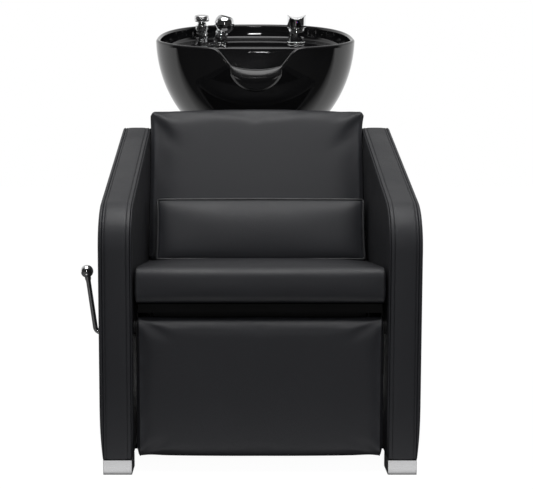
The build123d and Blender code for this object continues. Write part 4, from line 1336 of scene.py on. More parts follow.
@dataclass
class Back(Cushion):
    """Leaning back pad, with an arched top edge."""

    lean: float = 19.0
    front_depth: float = 0.440
    foot_height: float = 0.395
    arch: float = 0.009
    crown: float = 0.007
    flare: float = 0.004
    flare_shift: float = 0.002
    arch_power: float = 1.9
    arm_edge: tuple[float, float] = (0.705, 0.745)
    side_slack: float = 0.001

    def place(self, local: Array) -> Array:
        """Lower the top edge towards both sides by nearly the square of the share across and
        set back the face by its square, spread the part above the arms, then lean the pad
        back about its lower front edge."""
        across, through, up = (local / np.array(self.block.half)).T
        rise = (up + 1) / 2
        high = local[:, 2] + self.block.half[2]
        high -= self.arch * np.abs(across) ** self.arch_power * ease(rise, 0.0, 1.0)
        deep = local[:, 1] + self.block.half[1] + self.crown * across**2 * (1 - through) / 2
        wide = local[:, 0] + (self.flare * across + self.flare_shift) * ease(rise, 0.84, 0.98)
        return lean_back(xyz(wide, deep, high), self)

    def held(self, local: Array) -> Array:
        """The rear face, where the cover is stapled to the board, and the two sides."""
        return self.rear(local) | self.sides(local)

    def settle(self, points: Array) -> Array:
        """Keep the sides off the arms."""
        above = ease(points[:, 2], *self.arm_edge)
        self.between(points, self.side_slack + 1.5 * self.flare * above)
        return points


def lean_back(local: Array, back: Back) -> Array:
    """Points of the back's own frame, y through it and z up it, turned by its lean.

    Args:
        local: points in the back's own frame.
        back: the back, whose lean and foot place the frame.

    Returns:
        The points on the bed.
    """
    c, s = cos_sin(back.lean)
    y = FRONT_Y + back.front_depth + local[:, 1] * c + local[:, 2] * s
    z = back.foot_height - local[:, 1] * s + local[:, 2] * c
    return xyz(local[:, 0], y, z)


@dataclass
class Pillow(Cushion):
    """Lumbar pillow with a piped front face, lying on the seat against the back."""

    back: Back | None = None
    thickness: float = 0.080
    front_low: float = -0.0165
    rear_low: float = -0.0025
    front_high: float = 0.130
    rear_high: float = 0.145
    side_shift: float = 0.0075
    back_gap: float = 0.0003
    edge_recess: float = 0.020
    puff: float = 1.1
    waist: float = 0.012
    side_slack: float = 0.003
    piping_radius: float = 0.0029
    piping_lift: float = 0.0012

    def place(self, local: Array) -> Array:
        """Slant the block between its front and rear heights, and puff the front face: it
        stands out from the piping by one minus the eighth power of the share across, times
        one minus the fourth power of the share up, to the power of a half."""
        across, through, up = (local / np.array(self.block.half)).T
        front = (1 - through) / 2
        low = self.rear_low + (self.front_low - self.rear_low) * front
        high = self.rear_high + (self.front_high - self.rear_high) * front
        height = low + (high - low) * (up + 1) / 2
        height += 0.004 * front * (1 - up**2) * across**6 * up
        width = local[:, 0] * (1 - self.waist * (1 - np.abs(up) ** 3) * np.abs(across))
        full = np.sqrt(np.maximum((1 - np.abs(across) ** 8) * (1 - np.abs(up) ** 4), 0))
        rear = -self.back_gap
        face = rear - (self.thickness - self.edge_recess)
        puff = self.puff * self.edge_recess * full * ease(front, 0.5, 1.0)
        deep = rear + (face - rear) * front - puff
        return lean_back(xyz(width + self.side_shift, deep, height), self.back)

    def held(self, local: Array) -> Array:
        """The front perimeter where the piping is sewn, and the rear and lower faces."""
        half = self.block.half
        front = local[:, 1] < 0
        edge = 0.002
        rounding = np.array(self.block.radius) * (1 - sqrt(0.5))
        side = np.abs(np.abs(local[:, 0]) - (half[0] - rounding[0])) < edge
        level = np.abs(np.abs(local[:, 2]) - (half[2] - rounding[2])) < edge
        ahead = np.abs(local[:, 1] + half[1] - rounding[1]) < edge
        return (front & ahead & (side | level)) | self.rear(local) | self.base(local)

    def settle(self, points: Array) -> Array:
        """Keep the rear off the back and the base off the seat."""
        c, s = cos_sin(self.back.lean)
        y = points[:, 1] - FRONT_Y - self.back.front_depth
        z = points[:, 2] - self.back.foot_height
        deep, high = y * c - z * s, y * s + z * c
        over = np.maximum(deep + self.back_gap, 0)
        points[:, 1] -= over * c
        points[:, 2] += over * s
        slope = (self.rear_low - self.front_low) / self.thickness
        floor = self.rear_low + slope * (deep + self.back_gap)
        under = np.maximum(floor - high, 0)
        points[:, 1] += under * s
        points[:, 2] += under * c
        self.between(points, self.side_slack, self.side_shift)
        return points

    def piping(self, piece: bpy.types.Object, lookup: dict) -> bpy.types.Object:
        """Piping round the front face, along the lattice's front edge."""
        ends = self.block.ends()
        places = [(i, 0, 0) for i in range(ends[0])]
        places += [(ends[0], 0, k) for k in range(ends[2])]
        places += [(i, 0, ends[2]) for i in range(ends[0], 0, -1)]
        places += [(0, 0, k) for k in range(ends[2], 0, -1)]
        path = evenly(self.line(piece, lookup, places), 620, closed=True)
        for _ in range(3):
            path = (np.roll(path, 1, axis=0) + 2 * path + np.roll(path, -1, axis=0)) / 4
        c, s = cos_sin(self.back.lean)
        normal = np.array([0.0, -c, s])
        middle = path.mean(axis=0)
        outward = path - middle
        outward -= (outward @ normal)[:, None] * normal
        path = path + (unit(outward) + normal) * self.piping_lift
        run = np.linspace(0, 1.2, len(path))
        radius = self.piping_radius * (1 + 0.04 * unevenness(run, 0.05))
        draft = MeshDraft("pillow_piping")
        grid = tube(path, radius, 14, normal, closed=True)
        rubbed = np.full(grid.shape[:2], 0.6)
        draft.add_grid(grid, close_rows=True, rub=rubbed)
        return draft.build()

    def build(self) -> None:
        """Make and hand in the pillow's cover and piping."""
        piece, lookup = self.make()
        hand_in(self.piping(piece, lookup), self.body, PIPING)


@dataclass
class LegRest(Cushion):
    """Hanging leg rest with a rounded top edge and a bowed base."""

    front_depth: float = 0.012
    floor_gap: float = 0.028
    base_bow: float = 0.003
    corner_radius: float = 0.008
    side_slack: float = 0.0002

    def place(self, local: Array) -> Array:
        """Raise the base towards its corners by the bow times the square of the share across,
        and round each corner by the fall of a quarter circle."""
        half = np.array(self.block.half)
        across = local[:, 0] / half[0]
        height = local[:, 2] + half[2]
        radius = self.corner_radius
        over = np.clip((np.abs(local[:, 0]) - half[0] + radius) / radius, 0, 1)
        lift = self.base_bow * across**2 + radius * (1 - np.sqrt(1 - 0.98 * over**2))
        height += lift * (1 - height / (2 * half[2])) ** 2
        depth = self.front_depth + half[1] + local[:, 1]
        depth += 0.003 * np.abs(across) ** 3 * (1 - local[:, 1] / half[1]) / 2
        return xyz(local[:, 0], FRONT_Y + depth, self.floor_gap + height)

    def held(self, local: Array) -> Array:
        """The rear face, where the cover is stapled to the board, and the two ends."""
        return self.rear(local) | self.sides(local)

    def settle(self, points: Array) -> Array:
        """Keep the ends off the end plates and the rear off the board."""
        self.between(points, self.side_slack)
        rear = FRONT_Y + self.front_depth + 2 * self.block.half[1]
        points[:, 1] = np.minimum(points[:, 1], rear)
        return points

    def seam(self, number: int) -> list[tuple[int, int, int]]:
        """Out under the base, up the face and back over the top."""
        ends = self.block.ends()
        under = [(number, j, 0) for j in range(ends[1] - 2, 0, -1)]
        face = [(number, 0, k) for k in range(0, ends[2] + 1)]
        return under + face + [(number, j, ends[2]) for j in range(1, ends[1] - 1)]

    def build(self) -> None:
        """Make and hand in the leg rest's cover and seams."""
        self.seam_lips("legrest_seams", *self.make(), 0.0009, 140)


# Bowl


@dataclass
class Bowl:
    """Glazed bowl in its own frame: x across, u rearwards from the front rim, w up from it."""

    tilt: float = 10.0
    front_depth: float = 0.600
    rim_height: float = 0.898
    half_width: float = 0.260
    front_length: float = 0.205
    rear_length: float = 0.348
    depth: float = 0.265
    wall_depth: float = 0.295
    wall: float = 0.012
    front_power: float = 2.05
    rear_power: float = 2.6
    deck_level: float = -0.041
    deck_front: float = 0.343
    deck_lean: float = 0.034
    deck_fillet: float = 0.012
    deck_edge: float = 0.005
    drain_along: float = 0.178
    drain_hole: float = 0.023
    notch_outer: float = 0.111
    notch_inner: float = 0.046
    notch_depth: float = 0.056
    foot_bevel: float = 0.010
    foot_rise: float = 0.016
    floor_fillet: float = 0.012
    wall_stops: tuple[float, float] = (-0.105, -0.135)
    columns: int = 288
    pocket_size: tuple[float, float, float] = (0.120, 0.105, 0.150)

    def placed(self, local: Array) -> Array:
        """Points of the bowl's frame, tilted and moved to their place on the bed."""
        c, s = cos_sin(self.tilt)
        y = FRONT_Y + self.front_depth + local[..., 1] * c - local[..., 2] * s
        z = self.rim_height + local[..., 1] * s + local[..., 2] * c
        return xyz(local[..., 0], y, z)

    def angles(self) -> Array:
        """Angles round the bowl that space the rim's points evenly."""
        fine = np.linspace(0, 2 * pi, 8001)
        run = lengths(self.outline(fine, 0.0, 0.0))
        return np.interp(np.linspace(0, run[-1], self.columns, endpoint=False), run, fine)

    def outline(self, angle: Array, level: Array | float, inset: Array | float) -> Array:
        """Egg-shaped section at a level: a superellipse, the sine and the cosine of the angle
        each raised to two over the power, with a longer half behind than ahead. The whole
        section shrinks with the level as a circle does below its middle.

        Args:
            angle: angles, 0 at the rear and pi at the front.
            level: height from the rim, negative downwards.
            inset: distance in from the outer surface.

        Returns:
            Points with x, u and w.
        """
        ahead = np.cos(angle) < 0
        length = np.where(ahead, self.front_length, self.rear_length)
        power = np.where(ahead, 2 / self.front_power, 2 / self.rear_power)
        shrink = np.sqrt(np.maximum(1 - (np.asarray(level) / self.wall_depth) ** 2, 0.0))
        shrink = np.where(np.asarray(level) > 0, 1.0, shrink)
        fore = np.sign(np.cos(angle)) * np.abs(np.cos(angle)) ** power
        side = np.sign(np.sin(angle)) * np.abs(np.sin(angle)) ** power
        u = self.front_length + (length * shrink - inset) * fore
        x = (self.half_width * shrink - inset) * side
        return xyz(x, u, level)

    def rim_fall(self, angle: Array) -> Array:
        """How far the rim falls at each angle: into the neck notch by a smooth step of the
        distance from the middle."""
        rim = self.outline(angle, 0.0, 0.0)
        inside = 1 - ease(np.abs(rim[:, 0]), self.notch_inner, self.notch_outer)
        return self.notch_depth * inside * (np.cos(angle) < 0)

    def shell(self) -> Array:
        """Rows of points from the drain hole under the bowl, out and up the outer wall, over
        the rolled rim, down the inner wall, over the deck into the basin and back in to the
        drain hole. Behind the basin the inner wall is cut by a leaning plane: the way out from
        the middle is one over the eighth root of one plus the eighth power of how far past
        the plane it would reach."""
        angle = self.angles()
        fall = self.rim_fall(angle)
        roll = self.wall / 2
        low = -self.depth
        drain = np.array([0.0, self.drain_along, 0.0])
        rows = []
        rise = self.foot_rise
        foot = self.outline(angle, low + self.foot_bevel, 0.0)
        hole = drain + self.drain_hole * xyz(np.sin(angle), np.cos(angle), 0.0)
        for share in np.linspace(0, 1, 12) ** 0.8:
            row = hole + (foot - hole) * share
            row[:, 2] = low
            rows.append(row)
        corner = rows.pop()
        for share in (0.35, 0.7):
            row = corner + (self.outline(angle, low + rise, 0.0) - corner) * share
            row[:, 2] = low + self.foot_bevel * share**2
            rows.append(row)
        top = -fall - roll
        for share in 1 - (1 - np.linspace(0, 1, 46)) ** 1.05:
            level = low + rise + (top - low - rise) * share
            rows.append(self.outline(angle, level, 0.0))
        for turn in np.linspace(0, pi, 13)[1:-1]:
            row = self.outline(angle, top, roll - roll * cos(turn))
            row[:, 2] = top + roll * sin(turn)
            rows.append(row)
        return np.array(rows + self.inner_rows(angle, top, hole))

    def clipped(self, angle: Array, level: Array | float, share: float = 1.0) -> Array:
        """Inner section at a level, cut by the wall under the deck's front edge.

        Args:
            angle: angles round the bowl.
            level: height from the rim at each angle.
            share: how much of the cut is made, from none at 0 to all at 1.

        Returns:
            Points with x, u and w.
        """
        full = self.outline(angle, level, self.wall)
        level = np.broadcast_to(np.asarray(level, float), angle.shape)
        below = (self.deck_level - level) / (self.depth + self.deck_level)
        plane = self.deck_front - self.deck_lean * below
        middle = np.array([0.0, self.front_length])
        reach = full[:, 1] - middle[1]
        past = np.where(reach > 1e-6, reach / (plane - middle[1]), 0.0)
        keep = 1 / (1 + past**8) ** 0.125
        keep = 1 + (keep - 1) * share
        full[:, :2] = middle + (full[:, :2] - middle) * keep[:, None]
        return full

    def inner_rows(self, angle: Array, top: Array, hole: Array) -> list[Array]:
        """Rows down the inside, from the rolled rim to the drain hole. Where there is no deck
        the rows that lie on it elsewhere go down the wall instead."""
        floor = self.wall - self.depth
        full = self.outline(angle, self.deck_level, self.wall)
        cut = self.clipped(angle, self.deck_level)
        width = np.linalg.norm(full - cut, axis=1)
        decked = ease(width, 0.0, 0.030)
        first, second = (
            self.deck_level * decked + level * (1 - decked) for level in self.wall_stops
        )
        rows = []
        for share in np.linspace(0, 1, 12):
            level = top + (first + self.deck_fillet * decked - top) * share
            rows.append(self.outline(angle, level, self.wall))
        inward = unit(cut - full) * decked[:, None]
        for turn in np.linspace(0, pi / 2, 7)[1:]:
            level = first + self.deck_fillet * decked * (1 - sin(turn))
            inner = self.outline(angle, level, self.wall)
            rows.append(inner + inward * self.deck_fillet * (1 - cos(turn)))
        start = rows[-1]
        end = self.clipped(angle, second) - inward * self.deck_edge
        for share in np.linspace(0, 1, 12)[1:]:
            rows.append(start + (end - start) * share)
        for turn in np.linspace(0, pi / 2, 7)[1:]:
            level = second - self.deck_edge * (1 - cos(turn))
            rows.append(self.clipped(angle, level) - inward * self.deck_edge * (1 - sin(turn)))
        second = second - self.deck_edge
        for share in np.sin(np.linspace(0, pi / 2, 34))[1:]:
            level = second + (floor + self.floor_fillet - second) * share
            rows.append(self.clipped(angle, level))
        rim = rows[-1]
        for share in np.linspace(0, 1, 14)[1:]:
            row = rim + (hole - rim) * share
            row[:, 2] = floor + self.floor_fillet * (1 - share) ** 3
            rows.append(row)
        return rows

    def pocket(self) -> bpy.types.Object:
        """Cutter for the open hose pocket behind the basin."""
        half = tuple(size / 2 for size in self.pocket_size)
        block = PaddedBlock(half, (0.018, 0.018, 0.018), 0.02, 3)
        local, faces, _ = block.lattice()
        start = self.deck_front - self.deck_lean + 2 * self.wall
        local += [0.0, start + half[1], 0.08 - self.depth]
        draft = MeshDraft("pocket_cutter")
        draft.add(self.placed(local), faces)
        return draft.build()

    def build(self) -> None:
        """Make and hand in the bowl."""
        shell = self.placed(self.shell())
        piece = surface("glazed_bowl", shell, close_rows=True, capped=False)
        cutter = self.pocket()
        cut = piece.modifiers.new("pocket", "BOOLEAN")
        cut.object = cutter
        cut.solver = "EXACT"
        shown = piece.evaluated_get(bpy.context.evaluated_depsgraph_get())
        piece.data = bpy.data.meshes.new_from_object(shown)
        piece.modifiers.clear()
        bpy.data.objects.remove(cutter)
        hand_in(piece, "tilt_bowl", GLAZE, ("bowl",))


@dataclass
class NeckRest:
    """Rubber pad hooked over the notch of the bowl's front wall."""

    bowl: Bowl
    half_width: float = 0.064
    rise: float = 0.012
    drop: float = 0.055
    saddle: float = 0.009
    thickness: float = 0.0135

    def front_wall(self, x: Array, level: Array) -> Array:
        """How far the bowl's front wall lies behind its front rim, at a place on it."""
        bowl = self.bowl
        shrink = np.sqrt(1 - (level / bowl.wall_depth) ** 2)
        share = np.clip(np.abs(x) / (bowl.half_width * shrink), 0, 1) ** bowl.front_power
        return bowl.front_length * (1 - shrink * (1 - share) ** (1 / bowl.front_power))

    def section(self, x: float) -> Array:
        """Closed section across the wall at a place across the bowl: it hangs down the front,
        goes over the notch and a little way down the inside, and closes inside the wall."""
        share = abs(x) / self.half_width
        end = sqrt(max(1 - share**5, 0.02))
        top = -self.bowl.notch_depth + self.rise - self.saddle * (1 - share**2)
        low = top - self.drop * sqrt(max(1 - share**2 * 0.86, 0.0)) ** 0.9
        thick = self.thickness * end
        foot, head = self.front_wall(np.array([x, x]), np.array([low, top]))
        inside = head + self.bowl.wall
        controls = [
            (foot + 0.002, low + 0.002),
            (foot - 0.25 * thick, low - 0.001),
            (foot - 0.85 * thick, low + 0.007),
            (foot - 1.15 * thick, low + 0.35 * (top - low)),
            (head - 0.95 * thick, top - 0.020),
            (head - 0.50 * thick, top - 0.007),
            (head + 0.002, top),
            (inside + 0.15 * thick, top - 0.003),
            (inside + 0.42 * thick, top - 0.010),
            (inside + 0.35 * thick, top - 0.020),
            (inside - 0.003, top - 0.023),
            (inside - 0.006, top - 0.018),
        ]
        return xyz(x, *flowing(np.array(controls), 60, closed=True).T)

    def build(self) -> None:
        """Make and hand in the neck rest: its section carried across the notch."""
        places = self.half_width * np.sin(np.linspace(-pi / 2, pi / 2, 61))
        grid = np.array([self.section(x) for x in places])
        piece = surface("neck_rest_pad", self.bowl.placed(grid))
        hand_in(piece, "tilt_bowl", RUBBER, ("neck_rest",))


# Taps


@dataclass
class TapPlace:
    """Upright or leaning axis of a tap that stands on the bowl's deck."""

    bowl: Bowl
    x: float
    along: float = 0.447
    lean: float = 0.0

    def stand(self, local: Array) -> Array:
        """Points of the tap's own frame, z up its axis, leaned and moved to the deck."""
        c, s = cos_sin(self.lean)
        x = self.x + local[..., 0] * c + local[..., 2] * s
        w = self.bowl.deck_level - local[..., 0] * s + local[..., 2] * c
        return self.bowl.placed(xyz(x, self.along + local[..., 1], w))

    def solid(self, name: str, local: Array, **settings: object) -> bpy.types.Object:
        """Crisp-edged piece from a grid of rings in the tap's own frame."""
        return surface(name, self.stand(local), Fold.TURNED, **settings)

    def lathe(self, name: str, profile: Profile, sides: int = 72) -> bpy.types.Object:
        """A turned piece.

        Args:
            name: name of the piece.
            profile: radius and height of each point, from axis to axis.
            sides: points in a ring.

        Returns:
            The new object.
        """
        return self.solid(name, turned(np.array(profile), sides))


def chamfered(steps: list[tuple[float, float, float]], bevel: float) -> Profile:
    """Profile of a stack of round slices, each with a small bevel on both rims.

    Args:
        steps: radius, low end and high end of each slice, from the bottom up.
        bevel: width of the bevels.

    Returns:
        Radius and height of each point of the profile.
    """
    profile = [(0.0005, steps[0][1])]
    for radius, low, high in steps:
        cut = min(bevel, (high - low) / 3)
        arc = [(radius - cut, 0.0), (radius - 0.3 * cut, 0.3 * cut), (radius, cut)]
        profile += [(reach, low + rise) for reach, rise in arc]
        profile += [(reach, high - rise) for reach, rise in reversed(arc)]
    profile.append((0.0005, steps[-1][2]))
    return profile


@dataclass
class Breaker:
    """Vacuum breaker: a ribbed body with a knurled collar, a neck and a domed cap."""

    place: TapPlace
    base: float = 0.005

    def body(self) -> bpy.types.Object:
        """Stack of turned rings, with its shank and nut under the deck."""
        steps = [
            (0.0140, -0.0200, -0.0120), (0.0100, -0.0120, 0.0), (0.0165, self.base, 0.0090),
            (0.0150, 0.0090, 0.0115), (0.0163, 0.0115, 0.0290), (0.0148, 0.0290, 0.0315),
            (0.0163, 0.0315, 0.0370), (0.0178, 0.0375, 0.0405), (0.0172, 0.0412, 0.0452),
            (0.0178, 0.0458, 0.0490), (0.0132, 0.0490, 0.0530), (0.0124, 0.0530, 0.0590),
        ]
        return self.place.lathe("breaker_body", chamfered(steps, 0.0007))

    def ribs(self) -> bpy.types.Object:
        """Upright ribs round the middle of the body: the radius swells by the positive part of
        a cosine of the angle."""
        angle = full_turn(288)
        swell = np.maximum(np.cos(24 * angle), 0) ** 0.7
        rows = []
        for height, share in ((0.0122, 0.0), (0.0134, 1.0), (0.0272, 1.0), (0.0284, 0.0)):
            radius = 0.0162 + 0.0007 * share * swell
            rows.append(xyz(*(radius * circle(angle).T), height))
        return self.place.solid("breaker_ribs", np.array(rows))

    def cap(self) -> bpy.types.Object:
        """Domed cap with an overhanging lip."""
        profile = [
            (0.0005, 0.0592), (0.0120, 0.0592), (0.0165, 0.0598), (0.0200, 0.0612),
            (0.0212, 0.0632), (0.0215, 0.0660), (0.0213, 0.0690), (0.0206, 0.0706),
            (0.0202, 0.0716), (0.0200, 0.0738), (0.0188, 0.0758), (0.0168, 0.0769),
            (0.0138, 0.0776), (0.0080, 0.0780), (0.0005, 0.0780),
        ]
        return self.place.lathe("breaker_cap", profile)

    def build(self) -> None:
        """Make and hand in the breaker."""
        hand_in(self.body(), "tilt_bowl", CHROME, ("vacuum_breaker",))
        hand_in(self.ribs(), "tilt_bowl", CHROME)
        hand_in(self.cap(), "tilt_bowl", SATIN, ("vacuum_breaker_cap",))


@dataclass
class Handset:
    """Hand shower: a round head on a ringed neck, standing in its leaning holder."""

    place: TapPlace
    head_radius: float = 0.028
    head_rise: float = 0.055
    lip_radius: float = 0.0192
    face_radius: float = 0.0168

    def holder(self) -> bpy.types.Object:
        """Ringed holder tube, open at its mouth."""
        outer = [
            (0.0117, -0.0258), (0.0172, -0.0258), (0.0175, -0.0250), (0.0175, 0.0050),
            (0.0189, 0.0060), (0.0193, 0.0080), (0.0189, 0.0100), (0.0176, 0.0110),
            (0.0174, 0.0225), (0.0182, 0.0237), (0.0184, 0.0272), (0.0180, 0.0300),
            (0.0168, 0.0313), (0.0140, 0.0316), (0.0120, 0.0312), (0.0117, 0.0300),
        ]
        tube_wall = turned(np.array(outer), 72)
        return self.place.solid("shower_holder", tube_wall, close_rows=True, capped=False)

    def head(self) -> bpy.types.Object:
        """Round head with a waist groove and a recess for its face, on its shank."""
        radius, rise, lip = self.head_radius, self.head_rise, self.lip_radius
        recess = 0.0175
        profile = [(0.0005, -0.0255), (0.0104, -0.0255), (0.0108, -0.0245)]
        profile.append((0.0108, rise - 0.025))
        for turn in np.linspace(-1.02, 1.02, 44):
            ring, height = radius * cos(turn), rise + radius * sin(turn)
            groove = 0.0007 * np.exp(-(((height - rise - 0.004) / 0.0011) ** 2))
            profile.append((ring - groove, height))
        edge = rise + sqrt(radius**2 - lip**2)
        profile = [p for p in profile if p[1] < edge]
        profile += [
            (lip, edge), (lip - 0.0006, edge + 0.0006), (recess + 0.0003, edge + 0.0004),
            (recess, edge - 0.0004), (recess, edge - 0.0030), (0.0005, edge - 0.0030),
        ]
        return self.place.lathe("shower_head", profile)

    def face(self) -> bpy.types.Object:
        """Spray face: a shallow dome with rings of small nozzles."""
        edge = self.head_rise + sqrt(self.head_radius**2 - self.lip_radius**2)
        base = edge - 0.0028
        dome = [
            (0.0005, base - 0.001), (0.0172, base - 0.001), (0.0172, base + 0.0006),
            (self.face_radius, base + 0.0014), (0.0120, base + 0.0022), (0.0005, base + 0.0026),
        ]
        draft = MeshDraft("shower_face")
        draft.add_grid(self.place.stand(turned(np.array(dome), 60)), caps=(True, True))
        nozzle = [(0.0013, 0.0), (0.0012, 0.0016), (0.0007, 0.0021), (0.0002, 0.0021)]
        jet = turned(np.array(nozzle), 10)
        for ring, count in ((0.0045, 6), (0.0090, 12), (0.0138, 18)):
            height = base + 0.0024 - 0.0012 * (ring / self.face_radius) ** 2
            for turn in full_turn(count):
                spot = np.array([ring * cos(turn), ring * sin(turn), height])
                draft.add_grid(self.place.stand(jet + spot), caps=(True, True))
        return draft.build(Fold.TURNED)

    def boss(self) -> bpy.types.Object:
        """Ringed elbow boss on the front of the holder, whose axis points forwards."""
        profile = [
            (0.0005, -0.006), (0.0150, -0.006), (0.0158, -0.0052), (0.0160, 0.0030),
            (0.0172, 0.0036), (0.0176, 0.0048), (0.0172, 0.0060), (0.0150, 0.0066),
            (0.0128, 0.0058), (0.0122, 0.0050), (0.0100, 0.0052), (0.0070, 0.0068),
            (0.0030, 0.0076), (0.0005, 0.0077),
        ]
        x, z, y = np.moveaxis(turned(np.array(profile), 64), -1, 0)
        return self.place.solid("holder_boss", xyz(x, -0.0150 - y, z + 0.0155))

    def build(self) -> None:
        """Make and hand in the hand shower and its holder."""
        hand_in(self.holder(), "tilt_bowl", CHROME, ("handset_holder",))
        hand_in(self.boss(), "tilt_bowl", CHROME)
        hand_in(self.head(), "handset", CHROME, ("handset_body",))
        hand_in(self.face(), "handset", PLASTIC, ("handset_face",))


@dataclass
class Mixer:
    """Single-lever mixer: a flange with a beaded ring, a straight body and a cap handle whose
    top dips from front to rear."""

    place: TapPlace
    handle_radius: float = 0.026
    handle_low: float = 0.0425
    handle_height: float = 0.037
    dish: float = 0.010
    cavity_radius: float = 0.019
    cavity_height: float = 0.012
    edge_radius: float = 0.0014
    mark_radius: float = 0.0021
    mark_rise: float = 0.0175

    def body(self) -> bpy.types.Object:
        """Turned body with its flange, neck and nut."""
        steps = [
            (0.0250, -0.0200, -0.0120), (0.0208, -0.0120, 0.0), (0.0250, 0.0, 0.0024),
            (0.0240, 0.0024, 0.0036), (0.0236, 0.0036, 0.0062), (0.0226, 0.0062, 0.0395),
            (0.0230, 0.0395, 0.0420),
        ]
        return self.place.lathe("mixer_barrel", chamfered(steps, 0.0006), 96)

    def beads(self) -> bpy.types.Object:
        """Beaded ring round the flange: small domes side by side."""
        dome = turned(0.0017 * circle(np.linspace(0, 1.45, 5)), 8)
        draft = MeshDraft("mixer_beads")
        for turn in full_turn(36):
            spot = np.array([0.0234 * cos(turn), 0.0234 * sin(turn), 0.0030])
            draft.add_grid(self.place.stand(dome + spot), caps=(True, True))
        return draft.build()

    def inlets(self) -> bpy.types.Object:
        """The two inlet tails under the mixer."""
        draft = MeshDraft("mixer_inlets")
        grid = turned(np.array(chamfered([(0.0105, -0.0600, -0.0200)], 0.0006)), 36)
        for x in (-0.015, 0.015):
            draft.add_grid(self.place.stand(grid + [x, 0.0, 0.0]), caps=(True, True))
        return draft.build(Fold.TURNED)

    def handle(self) -> bpy.types.Object:
        """Cap handle: rings from the cavity round the rim, up the side, over the rounded top
        edge and in over the dished top, whose height falls towards the line from front to
        rear as a circle does."""
        radius, low = self.handle_radius, self.handle_low
        cavity, round_off = self.cavity_radius, self.edge_radius
        high = low + self.handle_height
        curve = (radius**2 + self.dish**2) / (2 * self.dish)
        angle = full_turn(120)

        def ring(reach: float, height: Array | float) -> Array:
            """Ring of the handle at a distance from its axis."""
            return xyz(*(reach * circle(angle).T), height)

        def top(reach: float) -> Array:
            """Height of the dished top at a distance from the axis."""
            x = reach * np.cos(angle)
            return high - self.dish + curve - np.sqrt(curve**2 - x**2)

        side_low = low + 0.0046
        rows = [ring(reach, height) for reach, height in (
            (0.0005, low + self.cavity_height), (cavity, low + self.cavity_height),
            (cavity, low + 0.001), (cavity + 0.001, low), (radius - 0.0016, low),
            (radius - 0.0008, low + 0.0004), (radius - 0.0004, low + 0.0014),
            (radius - 0.0012, low + 0.0022), (radius - 0.0012, low + 0.0030),
            (radius - 0.0002, low + 0.0036), (radius, side_low),
        )]
        edge = top(radius - round_off)
        for share in np.linspace(0, 1, 8)[1:]:
            rows.append(ring(radius, side_low + (edge - round_off - side_low) * share))
        for turn in np.linspace(0, pi / 2, 6)[1:]:
            reach = radius - round_off * (1 - cos(turn))
            rows.append(ring(reach, edge - round_off * (1 - sin(turn))))
        for reach in np.linspace(radius - 0.0030, 0.0005, 14):
            rows.append(ring(reach, top(reach)))
        return self.place.solid("mixer_cap", np.array(rows))

    def mark(self, name: str, start: float) -> bpy.types.Object:
        """Half of the round hot and cold mark on the front of the handle: a thin raised disc
        that follows the handle's side."""
        turn = np.linspace(start, start + pi, 13)
        rim = self.mark_radius * circle(turn)
        slices = ((1.0, -0.0003), (1.0, 0.0003), (0.9, 0.0005), (0.5, 0.0006), (0.05, 0.0006))
        rows = []
        for share, lift in slices:
            x, z = (rim * share).T
            y = -np.sqrt((self.handle_radius + lift) ** 2 - x**2)
            rows.append(xyz(x, y, self.handle_low + self.mark_rise + z))
        return surface(name, self.place.stand(np.array(rows)))

    def build(self) -> None:
        """Make and hand in the mixer."""
        hand_in(self.body(), "tilt_bowl", CHROME, ("mixer_body",))
        hand_in(self.beads(), "tilt_bowl", CHROME)
        hand_in(self.inlets(), "tilt_bowl", CHROME)
        hand_in(self.handle(), "mixer_grip", CHROME, ("mixer_handle",))
        hand_in(self.mark("mark_hot", pi / 2), "mixer_grip", HOT_MARK)
        hand_in(self.mark("mark_cold", -pi / 2), "mixer_grip", COLD_MARK)


# Lever


